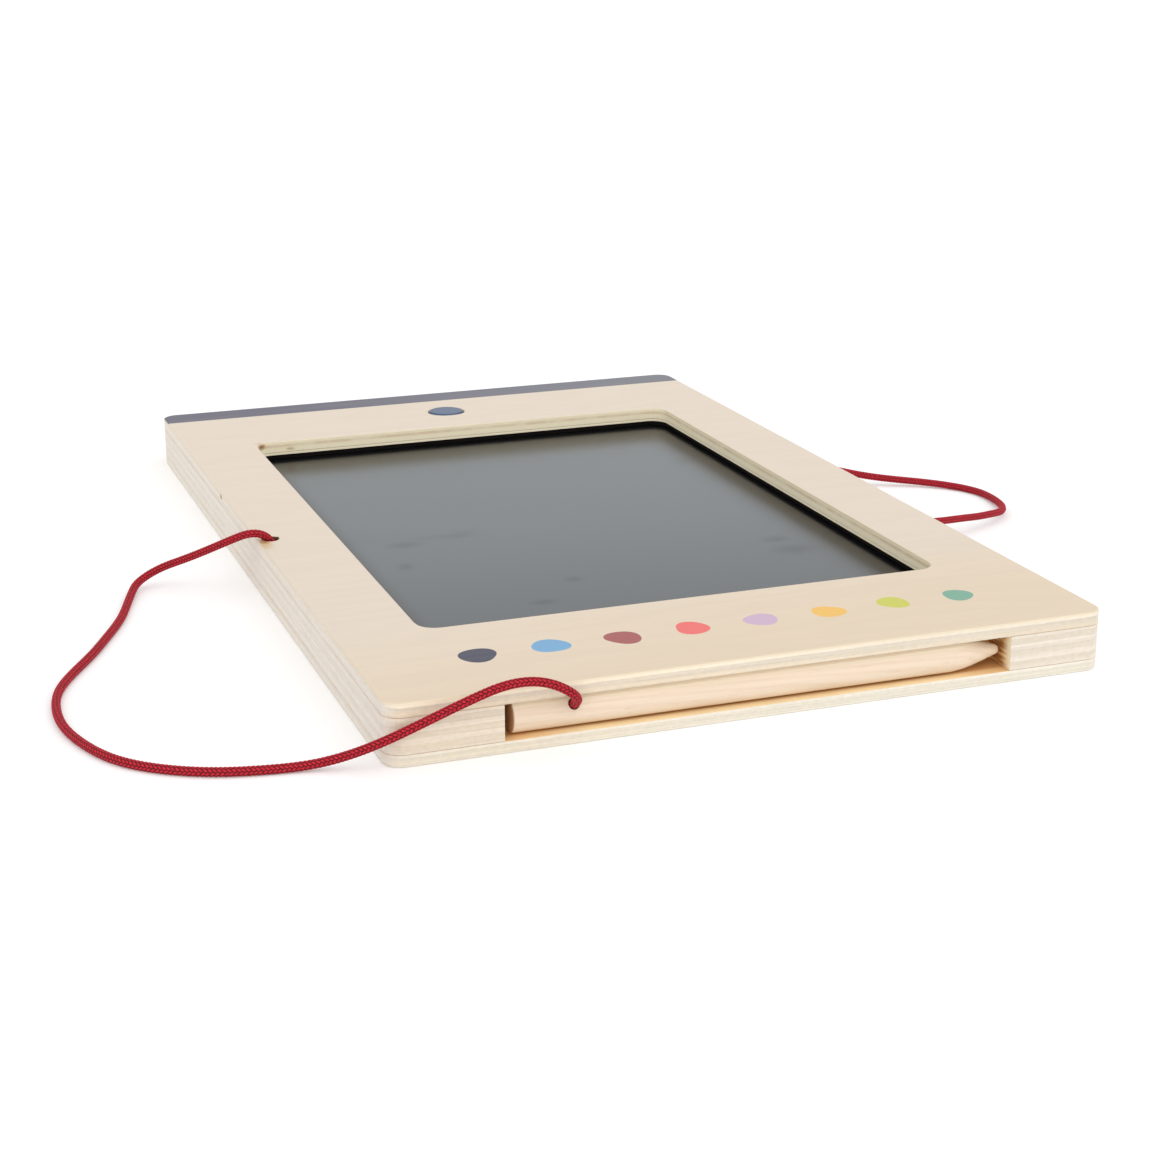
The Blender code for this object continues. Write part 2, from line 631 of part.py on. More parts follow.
def make_middle_frame():
    frame = slab("middle_frame", [
        body_outline(),
        window_outline(),
        circle_points((LEFT_CHAMBER_X, TOP_HOLE_Y), CHAMBER_RADIUS, SMALL_SIDES),
        circle_points((RIGHT_CHAMBER_X, -LOOP_SPREAD), CHAMBER_RADIUS, SMALL_SIDES),
        circle_points((RIGHT_CHAMBER_X, LOOP_SPREAD), CHAMBER_RADIUS, SMALL_SIDES),
    ], MIDDLE_LOW, MIDDLE_HIGH)
    put_in(parts, frame, plywood_core)
    smooth_sides(frame)
    below = MIDDLE_LOW - CUT_OVERRUN
    above = MIDDLE_HIGH + CUT_OVERRUN

    pocket_size = (PANEL_WIDTH + 2 * POCKET_CLEARANCE, PANEL_LENGTH + 2 * POCKET_CLEARANCE)
    pocket_outline = rounded_rectangle((0.0, WINDOW_Y), pocket_size, PANEL_RADIUS + POCKET_CLEARANCE)
    join_cut(frame, as_cutter(slab("cut_panel_pocket", [pocket_outline], below, LIP_LOW)))

    join_cut(frame, as_cutter(block(
        "cut_stylus_slot",
        (SLOT_LEFT, -BODY_LENGTH / 2 - CUT_OVERRUN, below),
        (SLOT_RIGHT, -BODY_LENGTH / 2 + SLOT_DEPTH, above))))

    bay = block("cut_bay", (BAY_LEFT, BAY_FRONT, below), (BAY_RIGHT - LEDGE_WIDTH, BAY_BACK, above))
    join_cut(frame, as_cutter(bay))
    join_cut(frame, as_cutter(block(
        "cut_board_end",
        (BAY_RIGHT - LEDGE_WIDTH - CUT_OVERRUN, BAY_FRONT, below),
        (BAY_RIGHT, BAY_BACK, BOARD_HIGH + GLUE_LINE))))

    ribbon_x = BOARD_RIGHT - RIBBON_FROM_RIGHT
    reach = RIBBON_WIDTH / 2 + RIBBON_CLEARANCE
    join_cut(frame, as_cutter(block(
        "cut_ribbon_channel",
        (ribbon_x - reach, WINDOW_BACK, below),
        (ribbon_x + reach, BAY_FRONT + CUT_OVERRUN, LIP_LOW))))

    for name, y in (("cut_loop_hole_front", -LOOP_SPREAD), ("cut_loop_hole_back", LOOP_SPREAD)):
        join_cut(frame, as_cutter(rod(
            name, CORD_HOLE_RADIUS, (RIGHT_CHAMBER_X, y, SIDE_HOLE_Z),
            (BODY_WIDTH / 2 + CUT_OVERRUN, y, SIDE_HOLE_Z), SMALL_SIDES)))

    pilot = BOARD_SCREW_RADIUS + BOARD_SCREW_CLEARANCE
    for index, y in enumerate(BOARD_SCREW_YS):
        join_cut(frame, as_cutter(rod(
            "cut_pilot_%d" % index, pilot, (BOARD_SCREW_X, y, BOARD_HIGH - CUT_OVERRUN),
            (BOARD_SCREW_X, y, BOARD_HIGH + BOARD_SCREW_GRIP + SEAT_GAP), SMALL_SIDES)))
    return frame


def make_bottom_plate():
    opening = rounded_rectangle((OPENING_X, BAY_Y), (OPENING_WIDTH, OPENING_LENGTH), DOOR_RADIUS)
    plate = slab("bottom_plate", [body_outline(), opening], 0.0, BOTTOM_THICKNESS)
    put_in(parts, plate, plywood)
    smooth_sides(plate)
    return round_rim(plate, 0.0)


# Writing panel


def make_writing_panel():
    outline = rounded_rectangle((0.0, WINDOW_Y), (PANEL_WIDTH, PANEL_LENGTH), PANEL_RADIUS)
    panel = slab("writing_panel", [outline], PANEL_LOW, PANEL_HIGH)
    return smooth_sides(put_in(parts, panel, panel_film))


def make_panel_bezel():
    outline = rounded_rectangle((0.0, WINDOW_Y), (PANEL_WIDTH, PANEL_LENGTH), PANEL_RADIUS)
    bezel = slab("panel_bezel", [outline, window_outline(BEZEL_SETBACK)], BEZEL_LOW, BEZEL_HIGH)
    return smooth_sides(put_in(parts, bezel, black_foam))


def make_panel_tray():
    outline = rounded_rectangle((0.0, WINDOW_Y), (PANEL_WIDTH, PANEL_LENGTH), PANEL_RADIUS)
    tray = slab("panel_tray", [outline], MIDDLE_LOW, TRAY_HIGH)
    put_in(parts, tray, black_plastic)
    smooth_sides(tray)
    cell_width = (PANEL_WIDTH - TRAY_WALL * (TRAY_COLUMNS + 1)) / TRAY_COLUMNS
    cell_length = (PANEL_LENGTH - TRAY_WALL * (TRAY_ROWS + 1)) / TRAY_ROWS
    for column in range(TRAY_COLUMNS):
        for row in range(TRAY_ROWS):
            left = -PANEL_WIDTH / 2 + TRAY_WALL + column * (cell_width + TRAY_WALL)
            front = WINDOW_Y - PANEL_LENGTH / 2 + TRAY_WALL + row * (cell_length + TRAY_WALL)
            join_cut(tray, as_cutter(block(
                "cut_tray_cell_%d_%d" % (column, row),
                (left, front, MIDDLE_LOW - CUT_OVERRUN),
                (left + cell_width, front + cell_length, TRAY_HIGH - TRAY_SHEET))))
    return tray


# Erase button and switch


def make_erase_button():
    foot = STEM_LOW - BUTTON_HIGH
    flange_high = FLANGE_HIGH - BUTTON_HIGH
    flange_low = FLANGE_LOW - BUTTON_HIGH
    profile = [(0.0, 0.0)]
    profile += quarter_round(BUTTON_RADIUS - BUTTON_ROUND, -BUTTON_ROUND, BUTTON_ROUND, math.pi / 2)
    profile += [
        (BUTTON_RADIUS, flange_high), (FLANGE_RADIUS, flange_high), (FLANGE_RADIUS, flange_low),
        (BUTTON_STEM_RADIUS, flange_low), (BUTTON_STEM_RADIUS, foot), (0.0, foot),
    ]
    button = turned("erase_button", profile, (0.0, BUTTON_Y, BUTTON_HIGH))
    return put_in(parts, button, blue_plastic)


def make_switch():
    half = SWITCH_WIDTH / 2
    housing = block("switch_body", (-half, BUTTON_Y - half, SWITCH_LOW),
                    (half, BUTTON_Y + half, SWITCH_HIGH))
    put_in(parts, housing, black_plastic)
    join_cut(housing, as_cutter(rod(
        "cut_switch_cavity", SWITCH_CAVITY_RADIUS, (0.0, BUTTON_Y, SWITCH_LOW + SWITCH_FLOOR),
        (0.0, BUTTON_Y, SWITCH_HIGH + CUT_OVERRUN), ROUND_SIDES)))

    hole = circle_points((0.0, BUTTON_Y), PLUNGER_RADIUS + SEAT_GAP, ROUND_SIDES)
    square = rounded_rectangle((0.0, BUTTON_Y), (SWITCH_WIDTH, SWITCH_WIDTH), SHEET_CORNER, 2)
    cover = slab("switch_cover", [square, hole], SWITCH_COVER_LOW, SWITCH_COVER_HIGH)
    put_in(parts, cover, steel)

    flange = PLUNGER_RADIUS + PLUNGER_FLANGE_LAP
    top = PLUNGER_HIGH - PLUNGER_FLANGE_LOW
    plunger = turned("switch_plunger", [
        (0.0, top), (PLUNGER_RADIUS, top), (PLUNGER_RADIUS, PLUNGER_FLANGE_THICKNESS),
        (flange, PLUNGER_FLANGE_THICKNESS), (flange, 0.0), (0.0, 0.0),
    ], (0.0, BUTTON_Y, PLUNGER_FLANGE_LOW), SMALL_SIDES)
    put_in(parts, plunger, black_plastic)

    rim = SWITCH_CAVITY_RADIUS - SEAT_GAP
    rings = 4
    upper = []
    lower = []
    for ring in range(rings + 1):
        share = ring / rings
        sag = DOME_RISE * (1 - share ** 2)
        upper.append((rim * share, sag + DOME_THICKNESS))
        lower.append((rim * share, sag))
    dome = turned("switch_dome", upper + list(reversed(lower)), (0.0, BUTTON_Y, DOME_LOW), SMALL_SIDES)
    put_in(parts, dome, steel)


# Circuit board


def make_circuit_board():
    centre = ((BOARD_LEFT + BOARD_RIGHT) / 2, BAY_Y)
    outlines = [rounded_rectangle(centre, (BOARD_WIDTH, BOARD_LENGTH), SHEET_CORNER, 2)]
    screw_hole = BOARD_SCREW_RADIUS + BOARD_SCREW_CLEARANCE
    for y in BOARD_SCREW_YS:
        outlines.append(circle_points((BOARD_SCREW_X, y), screw_hole, SMALL_SIDES))
    board = slab("circuit_board", outlines, BOARD_LOW, BOARD_HIGH)
    put_in(parts, board, green_board)

    half = PAD_WIDTH / 2
    pad = block("board_pad", (BOARD_LEFT + BOARD_MARGIN, BUTTON_Y - half, MIDDLE_LOW),
                (BOARD_LEFT + BOARD_MARGIN + PAD_WIDTH, BUTTON_Y + half, BOARD_LOW - GLUE_LINE))
    put_in(parts, pad, black_foam)

    for name, y in zip(("board_screw_front", "board_screw_back"), BOARD_SCREW_YS):
        head = BOARD_SCREW_RADIUS + BOARD_SCREW_HEAD_LAP
        head_high = BOARD_LOW - GLUE_LINE
        top = BOARD_HIGH + BOARD_SCREW_GRIP - head_high
        screw = turned(name, [
            (0.0, top), (BOARD_SCREW_RADIUS / 3, top), (BOARD_SCREW_RADIUS, top - BOARD_SCREW_RADIUS),
            (BOARD_SCREW_RADIUS, 0.0), (head, 0.0), (head, -BOARD_SCREW_HEAD_HEIGHT),
            (0.0, -BOARD_SCREW_HEAD_HEIGHT),
        ], (BOARD_SCREW_X, y, head_high), SMALL_SIDES)
        put_in(parts, screw, steel)


def make_controller_chip():
    centre_x = BOARD_RIGHT - CHIP_FROM_RIGHT
    low = BOARD_HIGH + GLUE_LINE
    chip = block("controller_chip",
                 (centre_x - CHIP_WIDTH / 2, BAY_Y - CHIP_LENGTH / 2, low),
                 (centre_x + CHIP_WIDTH / 2, BAY_Y + CHIP_LENGTH / 2, low + CHIP_HEIGHT))
    put_in(parts, chip, black_plastic)
    reach = CHIP_LENGTH / 2 + CHIP_LEAD_REACH
    for lead in range(CHIP_LEADS_PER_SIDE):
        x = centre_x + (lead - (CHIP_LEADS_PER_SIDE - 1) / 2) * CHIP_LEAD_PITCH
        leg = block("join_chip_lead_%d" % lead,
                    (x - CHIP_LEAD_WIDTH / 2, BAY_Y - reach, low + CHIP_HEIGHT / 4),
                    (x + CHIP_LEAD_WIDTH / 2, BAY_Y + reach, low + CHIP_HEIGHT / 2))
        join_cut(chip, as_cutter(leg), "UNION")
    return chip


def connector_front():
    return BOARD_FRONT + CONNECTOR_FROM_FRONT


def make_ribbon_and_connector():
    x = BOARD_RIGHT - RIBBON_FROM_RIGHT
    low = BOARD_HIGH + GLUE_LINE
    front = connector_front()
    connector = block("ribbon_connector", (x - CONNECTOR_WIDTH / 2, front, low),
                      (x + CONNECTOR_WIDTH / 2, front + CONNECTOR_DEPTH, low + CONNECTOR_HEIGHT))
    put_in(parts, connector, white_plastic)
    mouth_low = low + (CONNECTOR_HEIGHT - CONNECTOR_MOUTH) / 2
    mouth_half = RIBBON_WIDTH / 2 + SEAT_GAP
    join_cut(connector, as_cutter(block(
        "cut_connector_mouth", (x - mouth_half, front - CUT_OVERRUN, mouth_low),
        (x + mouth_half, front + RIBBON_TAIL, mouth_low + CONNECTOR_MOUTH))))

    tail_z = mouth_low + (CONNECTOR_MOUTH - RIBBON_THICKNESS) / 2
    panel_end = WINDOW_Y + PANEL_LENGTH / 2
    ribbon_z = PANEL_LOW + (PANEL_THICKNESS - RIBBON_THICKNESS) / 2
    start = panel_end + SEAT_GAP
    bend_start = BAY_FRONT - BAY_WALL / 2
    path = [
        (front + RIBBON_TAIL - SEAT_GAP, tail_z),
        (front, tail_z),
        (front - BOARD_MARGIN / 2, tail_z + RIBBON_THICKNESS),
        (bend_start + RIBBON_THICKNESS, ribbon_z - RIBBON_THICKNESS),
        (bend_start - BOARD_MARGIN / 2, ribbon_z),
        (start, ribbon_z),
    ]
    ribbon = strip("panel_ribbon", path, -RIBBON_THICKNESS, "X",
                   x - RIBBON_WIDTH / 2, x + RIBBON_WIDTH / 2)
    put_in(parts, ribbon, amber_film)


# Battery compartment


def contact_lines():
    """Sideways places of the two contact strips, either side of the screw insert."""
    return BAY_Y - CONTACT_OFFSET, BAY_Y + CONTACT_OFFSET


def positive_leg_x():
    """Where the positive strip stands beside the cell's edge, clear of it."""
    inner = CONTACT_OFFSET - CONTACT_WIDTH / 2
    return CELL_X + math.sqrt((CELL_DIAMETER / 2) ** 2 - inner ** 2) + SEAT_GAP


def make_battery_box():
    half_x = BOX_WIDTH / 2
    half_y = BOX_LENGTH / 2
    box = block("battery_box", (BOX_X - half_x, BAY_Y - half_y, MIDDLE_LOW),
                (BOX_X + half_x, BAY_Y + half_y, BOX_HIGH))
    put_in(parts, box, black_plastic)
    below = MIDDLE_LOW - CUT_OVERRUN
    join_cut(box, as_cutter(rod("cut_cell_well", WELL_RADIUS, (CELL_X, BAY_Y, below),
                               (CELL_X, BAY_Y, WELL_HIGH), CELL_SIDES)))
    join_cut(box, as_cutter(rod(
        "cut_insert_hole", INSERT_RADIUS + INSERT_CLEARANCE, (SCREW_X, BAY_Y, below),
        (SCREW_X, BAY_Y, INSERT_LOW + INSERT_LENGTH + SEAT_GAP), SMALL_SIDES)))

    side = CONTACT_WIDTH / 2 + CONTACT_CLEARANCE
    front_y, back_y = contact_lines()
    leg_x = positive_leg_x()
    positive_z = CELL_HIGH - CONTACT_THICKNESS
    join_cut(box, as_cutter(block(
        "cut_positive_slot", (CELL_X, front_y - side, positive_z - CONTACT_LEG - CONTACT_CLEARANCE),
        (BOX_RIGHT + CUT_OVERRUN, front_y + side, positive_z + CONTACT_THICKNESS + CONTACT_CLEARANCE))))
    level = negative_z()
    join_cut(box, as_cutter(block(
        "cut_negative_slot", (CELL_X, back_y - side, level - CONTACT_CLEARANCE),
        (BOX_RIGHT + CUT_OVERRUN, back_y + side, level + CONTACT_THICKNESS + CONTACT_CLEARANCE))))

    tail = BOX_RIGHT + CONTACT_TAIL
    positive = strip("positive_contact", [
        (tail, positive_z), (leg_x, positive_z), (leg_x, positive_z - CONTACT_LEG),
    ], -CONTACT_THICKNESS, "Y", front_y - CONTACT_WIDTH / 2, front_y + CONTACT_WIDTH / 2)
    put_in(parts, positive, brass)
    negative = strip("negative_contact", [
        (tail, level), (CELL_X + WELL_RADIUS * 2 / 3, level), (CELL_X, level - LEAF_DIP),
        (CELL_X - LEAF_REACH, level),
    ], -CONTACT_THICKNESS, "Y", back_y - CONTACT_WIDTH / 2, back_y + CONTACT_WIDTH / 2)
    put_in(parts, negative, brass)
    return box


def negative_z():
    """Underside of the negative strip's flat run, halfway between the cell and the well's ceiling."""
    return (CELL_HIGH + WELL_HIGH) / 2


def wire_route(y, z, pad_y):
    """From the end of a contact strip, out over the board and down onto its solder pad."""
    start = (BOX_RIGHT + CONTACT_TAIL + SEAT_GAP, y, z)
    end = (BOARD_LEFT + WIRE_PAD_FROM_LEFT, pad_y, BOARD_HIGH + SEAT_GAP)
    route = []
    for shares in WIRE_SHARES:
        route.append(tuple(a + (b - a) * share for a, b, share in zip(start, end, shares)))
    return route


def make_battery_wires():
    front_y, back_y = contact_lines()
    positive = wire_route(front_y, CELL_HIGH - CONTACT_THICKNESS / 2, BOARD_FRONT + WIRE_PAD_FROM_END)
    cord("battery_wire_positive", positive, WIRE_DIAMETER, WIRE_STEP, red_braid, 1)
    negative = wire_route(back_y, negative_z() + CONTACT_THICKNESS / 2, BOARD_BACK - WIRE_PAD_FROM_END)
    cord("battery_wire_negative", negative, WIRE_DIAMETER, WIRE_STEP, black_plastic, 1)


def make_coin_cell():
    radius = CELL_DIAMETER / 2
    cap = radius - CELL_RIM
    shoulder = CELL_THICKNESS - CELL_STEP
    edge = CELL_STEP
    cell = turned("coin_cell", [
        (0.0, CELL_THICKNESS), (cap, CELL_THICKNESS), (cap, shoulder), (radius - edge, shoulder),
        (radius, shoulder - edge), (radius, edge), (radius - edge, 0.0), (0.0, 0.0),
    ], (CELL_X, BAY_Y, CELL_LOW), CELL_SIDES)
    return put_in(parts, cell, steel)


def make_battery_cover():
    size = (OPENING_WIDTH - 2 * DOOR_CLEARANCE, OPENING_LENGTH - 2 * DOOR_CLEARANCE)
    outline = rounded_rectangle((OPENING_X, BAY_Y), size, DOOR_RADIUS - DOOR_CLEARANCE)
    hole = circle_points((SCREW_X, BAY_Y), SCREW_RADIUS + SCREW_CLEARANCE, SMALL_SIDES)
    cover = slab("battery_cover", [outline, hole], DOOR_RECESS, DOOR_HIGH)
    put_in(parts, cover, black_plastic)
    pad = rod("join_cover_pad", WELL_RADIUS - DOOR_PAD_CLEARANCE,
              (CELL_X, BAY_Y, (DOOR_RECESS + DOOR_HIGH) / 2), (CELL_X, BAY_Y, CELL_LOW - SEAT_GAP),
              ROUND_SIDES)
    join_cut(cover, as_cutter(pad), "UNION")
    join_cut(cover, as_cutter(rod(
        "cut_head_recess", HEAD_RADIUS + SCREW_CLEARANCE, (SCREW_X, BAY_Y, DOOR_RECESS - CUT_OVERRUN),
        (SCREW_X, BAY_Y, HEAD_HIGH + GLUE_LINE), SMALL_SIDES)))
    notch_x = OPENING_X - OPENING_WIDTH / 2
    join_cut(cover, as_cutter(rod(
        "cut_nail_notch", NOTCH_RADIUS, (notch_x, BAY_Y, DOOR_RECESS - CUT_OVERRUN),
        (notch_x, BAY_Y, DOOR_RECESS + NOTCH_DEPTH), SMALL_SIDES)))
    set_origin(cover, (OPENING_X, BAY_Y, DOOR_RECESS))
    return cover


def set_origin(item, place):
    """Move an object's origin without moving its mesh."""
    shift = item.matrix_world.inverted() @ Vector(place)
    item.data.transform(Matrix.Translation(-shift))
    item.location = place


def make_cover_screw_and_insert():
    top = INSERT_LOW + SCREW_GRIP - HEAD_LOW
    head = HEAD_HIGH - HEAD_LOW
    screw = turned("cover_screw", [
        (0.0, top), (SCREW_RADIUS / 2, top), (SCREW_RADIUS, top - SCREW_RADIUS / 2),
        (SCREW_RADIUS, head), (HEAD_RADIUS, head), (HEAD_RADIUS, 0.0), (0.0, 0.0),
    ], (SCREW_X, BAY_Y, HEAD_LOW), SMALL_SIDES)
    put_in(parts, screw, steel)
    half = SCREW_SLOT_WIDTH / 2
    reach = HEAD_RADIUS * 2 / 3
    for name, size in (("cut_driver_slot_x", (reach, half)), ("cut_driver_slot_y", (half, reach))):
        join_cut(screw, as_cutter(block(
            name, (SCREW_X - size[0], BAY_Y - size[1], HEAD_LOW - CUT_OVERRUN),
            (SCREW_X + size[0], BAY_Y + size[1], HEAD_LOW + SCREW_SLOT_DEPTH))))

    outlines = [circle_points((SCREW_X, BAY_Y), INSERT_RADIUS, SMALL_SIDES),
                circle_points((SCREW_X, BAY_Y), INSERT_BORE, SMALL_SIDES)]
    insert = slab("screw_insert", outlines, INSERT_LOW, INSERT_LOW + INSERT_LENGTH)
    put_in(parts, insert, brass)


# Stylus and cords


def make_stylus():
    length = STYLUS_RIGHT - STYLUS_LEFT
    tip = STYLUS_TIP_RADIUS
    profile = [(tip * out, length - tip * down) for out, down in STYLUS_TIP_SHARES]
    profile += [(STYLUS_RADIUS * out, length - STYLUS_TAPER * down) for out, down in STYLUS_TAPER_SHARES]
    profile += quarter_round(STYLUS_RADIUS - STYLUS_END_ROUND, STYLUS_END_ROUND, STYLUS_END_ROUND, 0.0)
    profile += [(0.0, 0.0)]
    stylus = turned("stylus", profile, (STYLUS_LEFT, STYLUS_Y, STYLUS_Z))
    stylus.rotation_euler = (0.0, math.pi / 2, 0.0)
    put_in(parts, stylus, pale_wood)
    outward = Vector((0.0, -math.cos(STYLUS_HOLE_ANGLE), math.sin(STYLUS_HOLE_ANGLE)))
    axis_point = Vector((STYLUS_HOLE_X, STYLUS_Y, STYLUS_Z))
    hole = rod("cut_stylus_hole", CORD_HOLE_RADIUS,
               axis_point + outward * (STYLUS_RADIUS - STYLUS_HOLE_DEPTH),
               axis_point + outward * (STYLUS_RADIUS + CUT_OVERRUN), SMALL_SIDES)
    join_cut(stylus, as_cutter(hole))
    return stylus


def make_cords():
    cord("stylus_cord", STYLUS_CORD_ROUTE, CORD_DIAMETER, CORD_STEP, red_braid)
    cord("carry_loop", CARRY_LOOP_ROUTE, CORD_DIAMETER, CORD_STEP, red_braid)
    drop = KNOT_RADIUS + SEAT_GAP
    knot("stylus_cord_knot", (LEFT_CHAMBER_X, TOP_HOLE_Y, TOP_LOW - drop), red_braid)
    loop_x = RIGHT_CHAMBER_X + CHAMBER_RADIUS - drop
    knot("carry_loop_knot_front", (loop_x, -LOOP_SPREAD, SIDE_HOLE_Z), red_braid)
    knot("carry_loop_knot_back", (loop_x, LOOP_SPREAD, SIDE_HOLE_Z), red_braid)


clear_scene()
parts = new_collection("writing_tablet")
cutters = new_collection("cutters")

plywood = new_material("plywood", (0.80, 0.70, 0.57), 0.62)
plywood_core = new_material("plywood_core", (0.78, 0.67, 0.52), 0.66)
pale_wood = new_material("pale_wood", (0.84, 0.70, 0.53), 0.60)
panel_film = new_material("panel_film", (0.03, 0.04, 0.045), 0.12)
black_foam = new_material("black_foam", (0.02, 0.02, 0.02), 0.85)
black_plastic = new_material("black_plastic", (0.03, 0.03, 0.03), 0.45)
white_plastic = new_material("white_plastic", (0.80, 0.79, 0.75), 0.45)
blue_plastic = new_material("blue_plastic", (0.13, 0.24, 0.36), 0.40)
green_board = new_material("green_board", (0.04, 0.22, 0.09), 0.40)
amber_film = new_material("amber_film", (0.62, 0.33, 0.06), 0.35)
steel = new_material("steel", (0.62, 0.62, 0.62), 0.30, 1.0)
brass = new_material("brass", (0.72, 0.55, 0.25), 0.32, 1.0)
red_braid = new_material("red_braid", (0.45, 0.02, 0.035), 0.70)

make_top_plate()
make_middle_frame()
make_bottom_plate()
make_writing_panel()
make_panel_bezel()
make_panel_tray()
make_erase_button()
make_switch()
make_circuit_board()
make_controller_chip()
make_ribbon_and_connector()
make_battery_box()
make_battery_wires()
make_coin_cell()
make_battery_cover()
make_cover_screw_and_insert()
make_stylus()
make_cords()
print("modelled", len(parts.objects), "pieces")
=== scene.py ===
# %% [markdown]
# # A wooden writing tablet with a corded stylus
#
# The tablet is three layers of plywood glued together, with a dark liquid-crystal panel under a window in
# the top layer. A button at the back wipes the panel. A wooden stylus lies in a slot in the front edge and
# hangs on a red cord, and a loop of the same cord sticks out of the right edge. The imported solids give
# every size, so this script loads them first and then adds cords, finishes and light round them. All
# lengths are in metres.

# %% The solids, and the box that they fill
import math

import bpy
import numpy as np
from mathutils import Matrix, Vector


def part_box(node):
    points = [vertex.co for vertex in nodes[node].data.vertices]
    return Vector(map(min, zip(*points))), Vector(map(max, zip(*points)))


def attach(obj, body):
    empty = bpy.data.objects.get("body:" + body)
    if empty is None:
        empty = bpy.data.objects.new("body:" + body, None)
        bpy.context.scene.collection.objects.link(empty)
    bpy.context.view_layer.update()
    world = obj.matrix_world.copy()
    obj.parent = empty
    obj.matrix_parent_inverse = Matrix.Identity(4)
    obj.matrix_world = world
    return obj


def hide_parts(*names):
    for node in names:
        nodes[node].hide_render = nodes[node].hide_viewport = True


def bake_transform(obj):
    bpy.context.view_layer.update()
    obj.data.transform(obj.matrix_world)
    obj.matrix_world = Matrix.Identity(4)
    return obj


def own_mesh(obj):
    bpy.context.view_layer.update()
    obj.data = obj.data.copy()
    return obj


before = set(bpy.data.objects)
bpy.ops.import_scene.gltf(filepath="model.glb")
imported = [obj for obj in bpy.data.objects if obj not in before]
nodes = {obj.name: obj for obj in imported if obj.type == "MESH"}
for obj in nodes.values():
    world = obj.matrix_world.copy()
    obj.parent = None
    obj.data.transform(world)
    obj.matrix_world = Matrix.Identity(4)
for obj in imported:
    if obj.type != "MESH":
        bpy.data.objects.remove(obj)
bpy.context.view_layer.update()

# %% [markdown]
# ## Camera
#
# The photograph is square and looks down at the tablet from the front left, not far above the table. The
# camera's place, turn and lens were worked out from the straight edges of the plywood. A camera looks
# along its own -Z, so its turn is written as three directions: to the right, up, and back towards the
# person who holds it.

# %% Camera at the photograph's angle
CAMERA_PLACE = Vector((-0.18378, -0.51884, 0.17003))
CAMERA_AZIMUTH = math.radians(-109.929)
CAMERA_HEIGHT_ANGLE = math.radians(17.900)
CAMERA_ROLL = math.radians(-0.226)
CAMERA_LENS = 67.435


def camera_directions(azimuth, height, roll):
    """Right, up and back of a camera that looks down at the origin from an azimuth and a height angle."""
    level = math.cos(height)
    back = Vector((level * math.cos(azimuth), level * math.sin(azimuth), math.sin(height)))
    right = Vector((-math.sin(azimuth), math.cos(azimuth), 0.0))
    up = back.cross(right)
    turned_right = right * math.cos(roll) + up * math.sin(roll)
    turned_up = up * math.cos(roll) - right * math.sin(roll)
    return turned_right, turned_up, back


lens = bpy.data.cameras.new("photo_camera")
lens.lens = CAMERA_LENS
camera = bpy.data.objects.new("photo_camera", lens)
bpy.context.scene.collection.objects.link(camera)
columns = camera_directions(CAMERA_AZIMUTH, CAMERA_HEIGHT_ANGLE, CAMERA_ROLL)
camera.matrix_world = Matrix.Translation(CAMERA_PLACE) @ Matrix(columns).transposed().to_4x4()
bpy.context.scene.camera = camera
print("camera looks along", [round(-value, 3) for value in columns[2]])

# %% [markdown]
# ## The two cords
#
# Both cords are the same braided cotton, 2 mm thick. A cord is stiff enough to hold a soft arch over a few
# centimetres, but it can't stand up, so each route comes straight out of its hole, arches over and then
# lies on the table. The points are the ones that the solids were made from. A natural cubic spline through
# them bends the way a thin springy rod does, which is why it looks right for a cord.

# %% Routes of the cords, point by point
STYLUS_CORD_ROUTE = [
    (-0.0791, -0.0093, 0.01075), (-0.0794, -0.0094, 0.0119), (-0.0801, -0.0096, 0.0136),
    (-0.0814, -0.0099, 0.0150), (-0.0834, -0.0102, 0.0159), (-0.0859, -0.0102, 0.0160),
    (-0.0885, -0.0093, 0.0151), (-0.0914, -0.0074, 0.0135), (-0.0946, -0.0045, 0.0114),
    (-0.1015, 0.0025, 0.0069), (-0.1049, 0.0051, 0.0050), (-0.1084, 0.0056, 0.0033),
    (-0.1114, 0.0035, 0.0022), (-0.1137, -0.0012, 0.0015), (-0.1162, -0.0092, 0.0011),
    (-0.1194, -0.0197, 0.00105), (-0.1242, -0.0314, 0.00105), (-0.1295, -0.0430, 0.00105),
    (-0.1353, -0.0541, 0.00105), (-0.1397, -0.0646, 0.00105), (-0.1415, -0.0750, 0.00105),
    (-0.1413, -0.0858, 0.00105), (-0.1385, -0.0976, 0.00105), (-0.1330, -0.1087, 0.00105),
    (-0.1250, -0.1163, 0.00105), (-0.1155, -0.1212, 0.00105), (-0.1060, -0.1235, 0.00105),
    (-0.0972, -0.1250, 0.0015), (-0.0900, -0.1276, 0.0036), (-0.0843, -0.1304, 0.0064),
    (-0.0778, -0.1322, 0.0095), (-0.0650, -0.1333, 0.0146), (-0.0590, -0.1336, 0.0163),
    (-0.0530, -0.1341, 0.0165), (-0.0480, -0.1345, 0.0149), (-0.0449, -0.1341, 0.0127),
    (-0.0434, -0.1322, 0.01065), (-0.0430, -0.1298, 0.00903), (-0.0430, -0.12655, 0.00715),
]
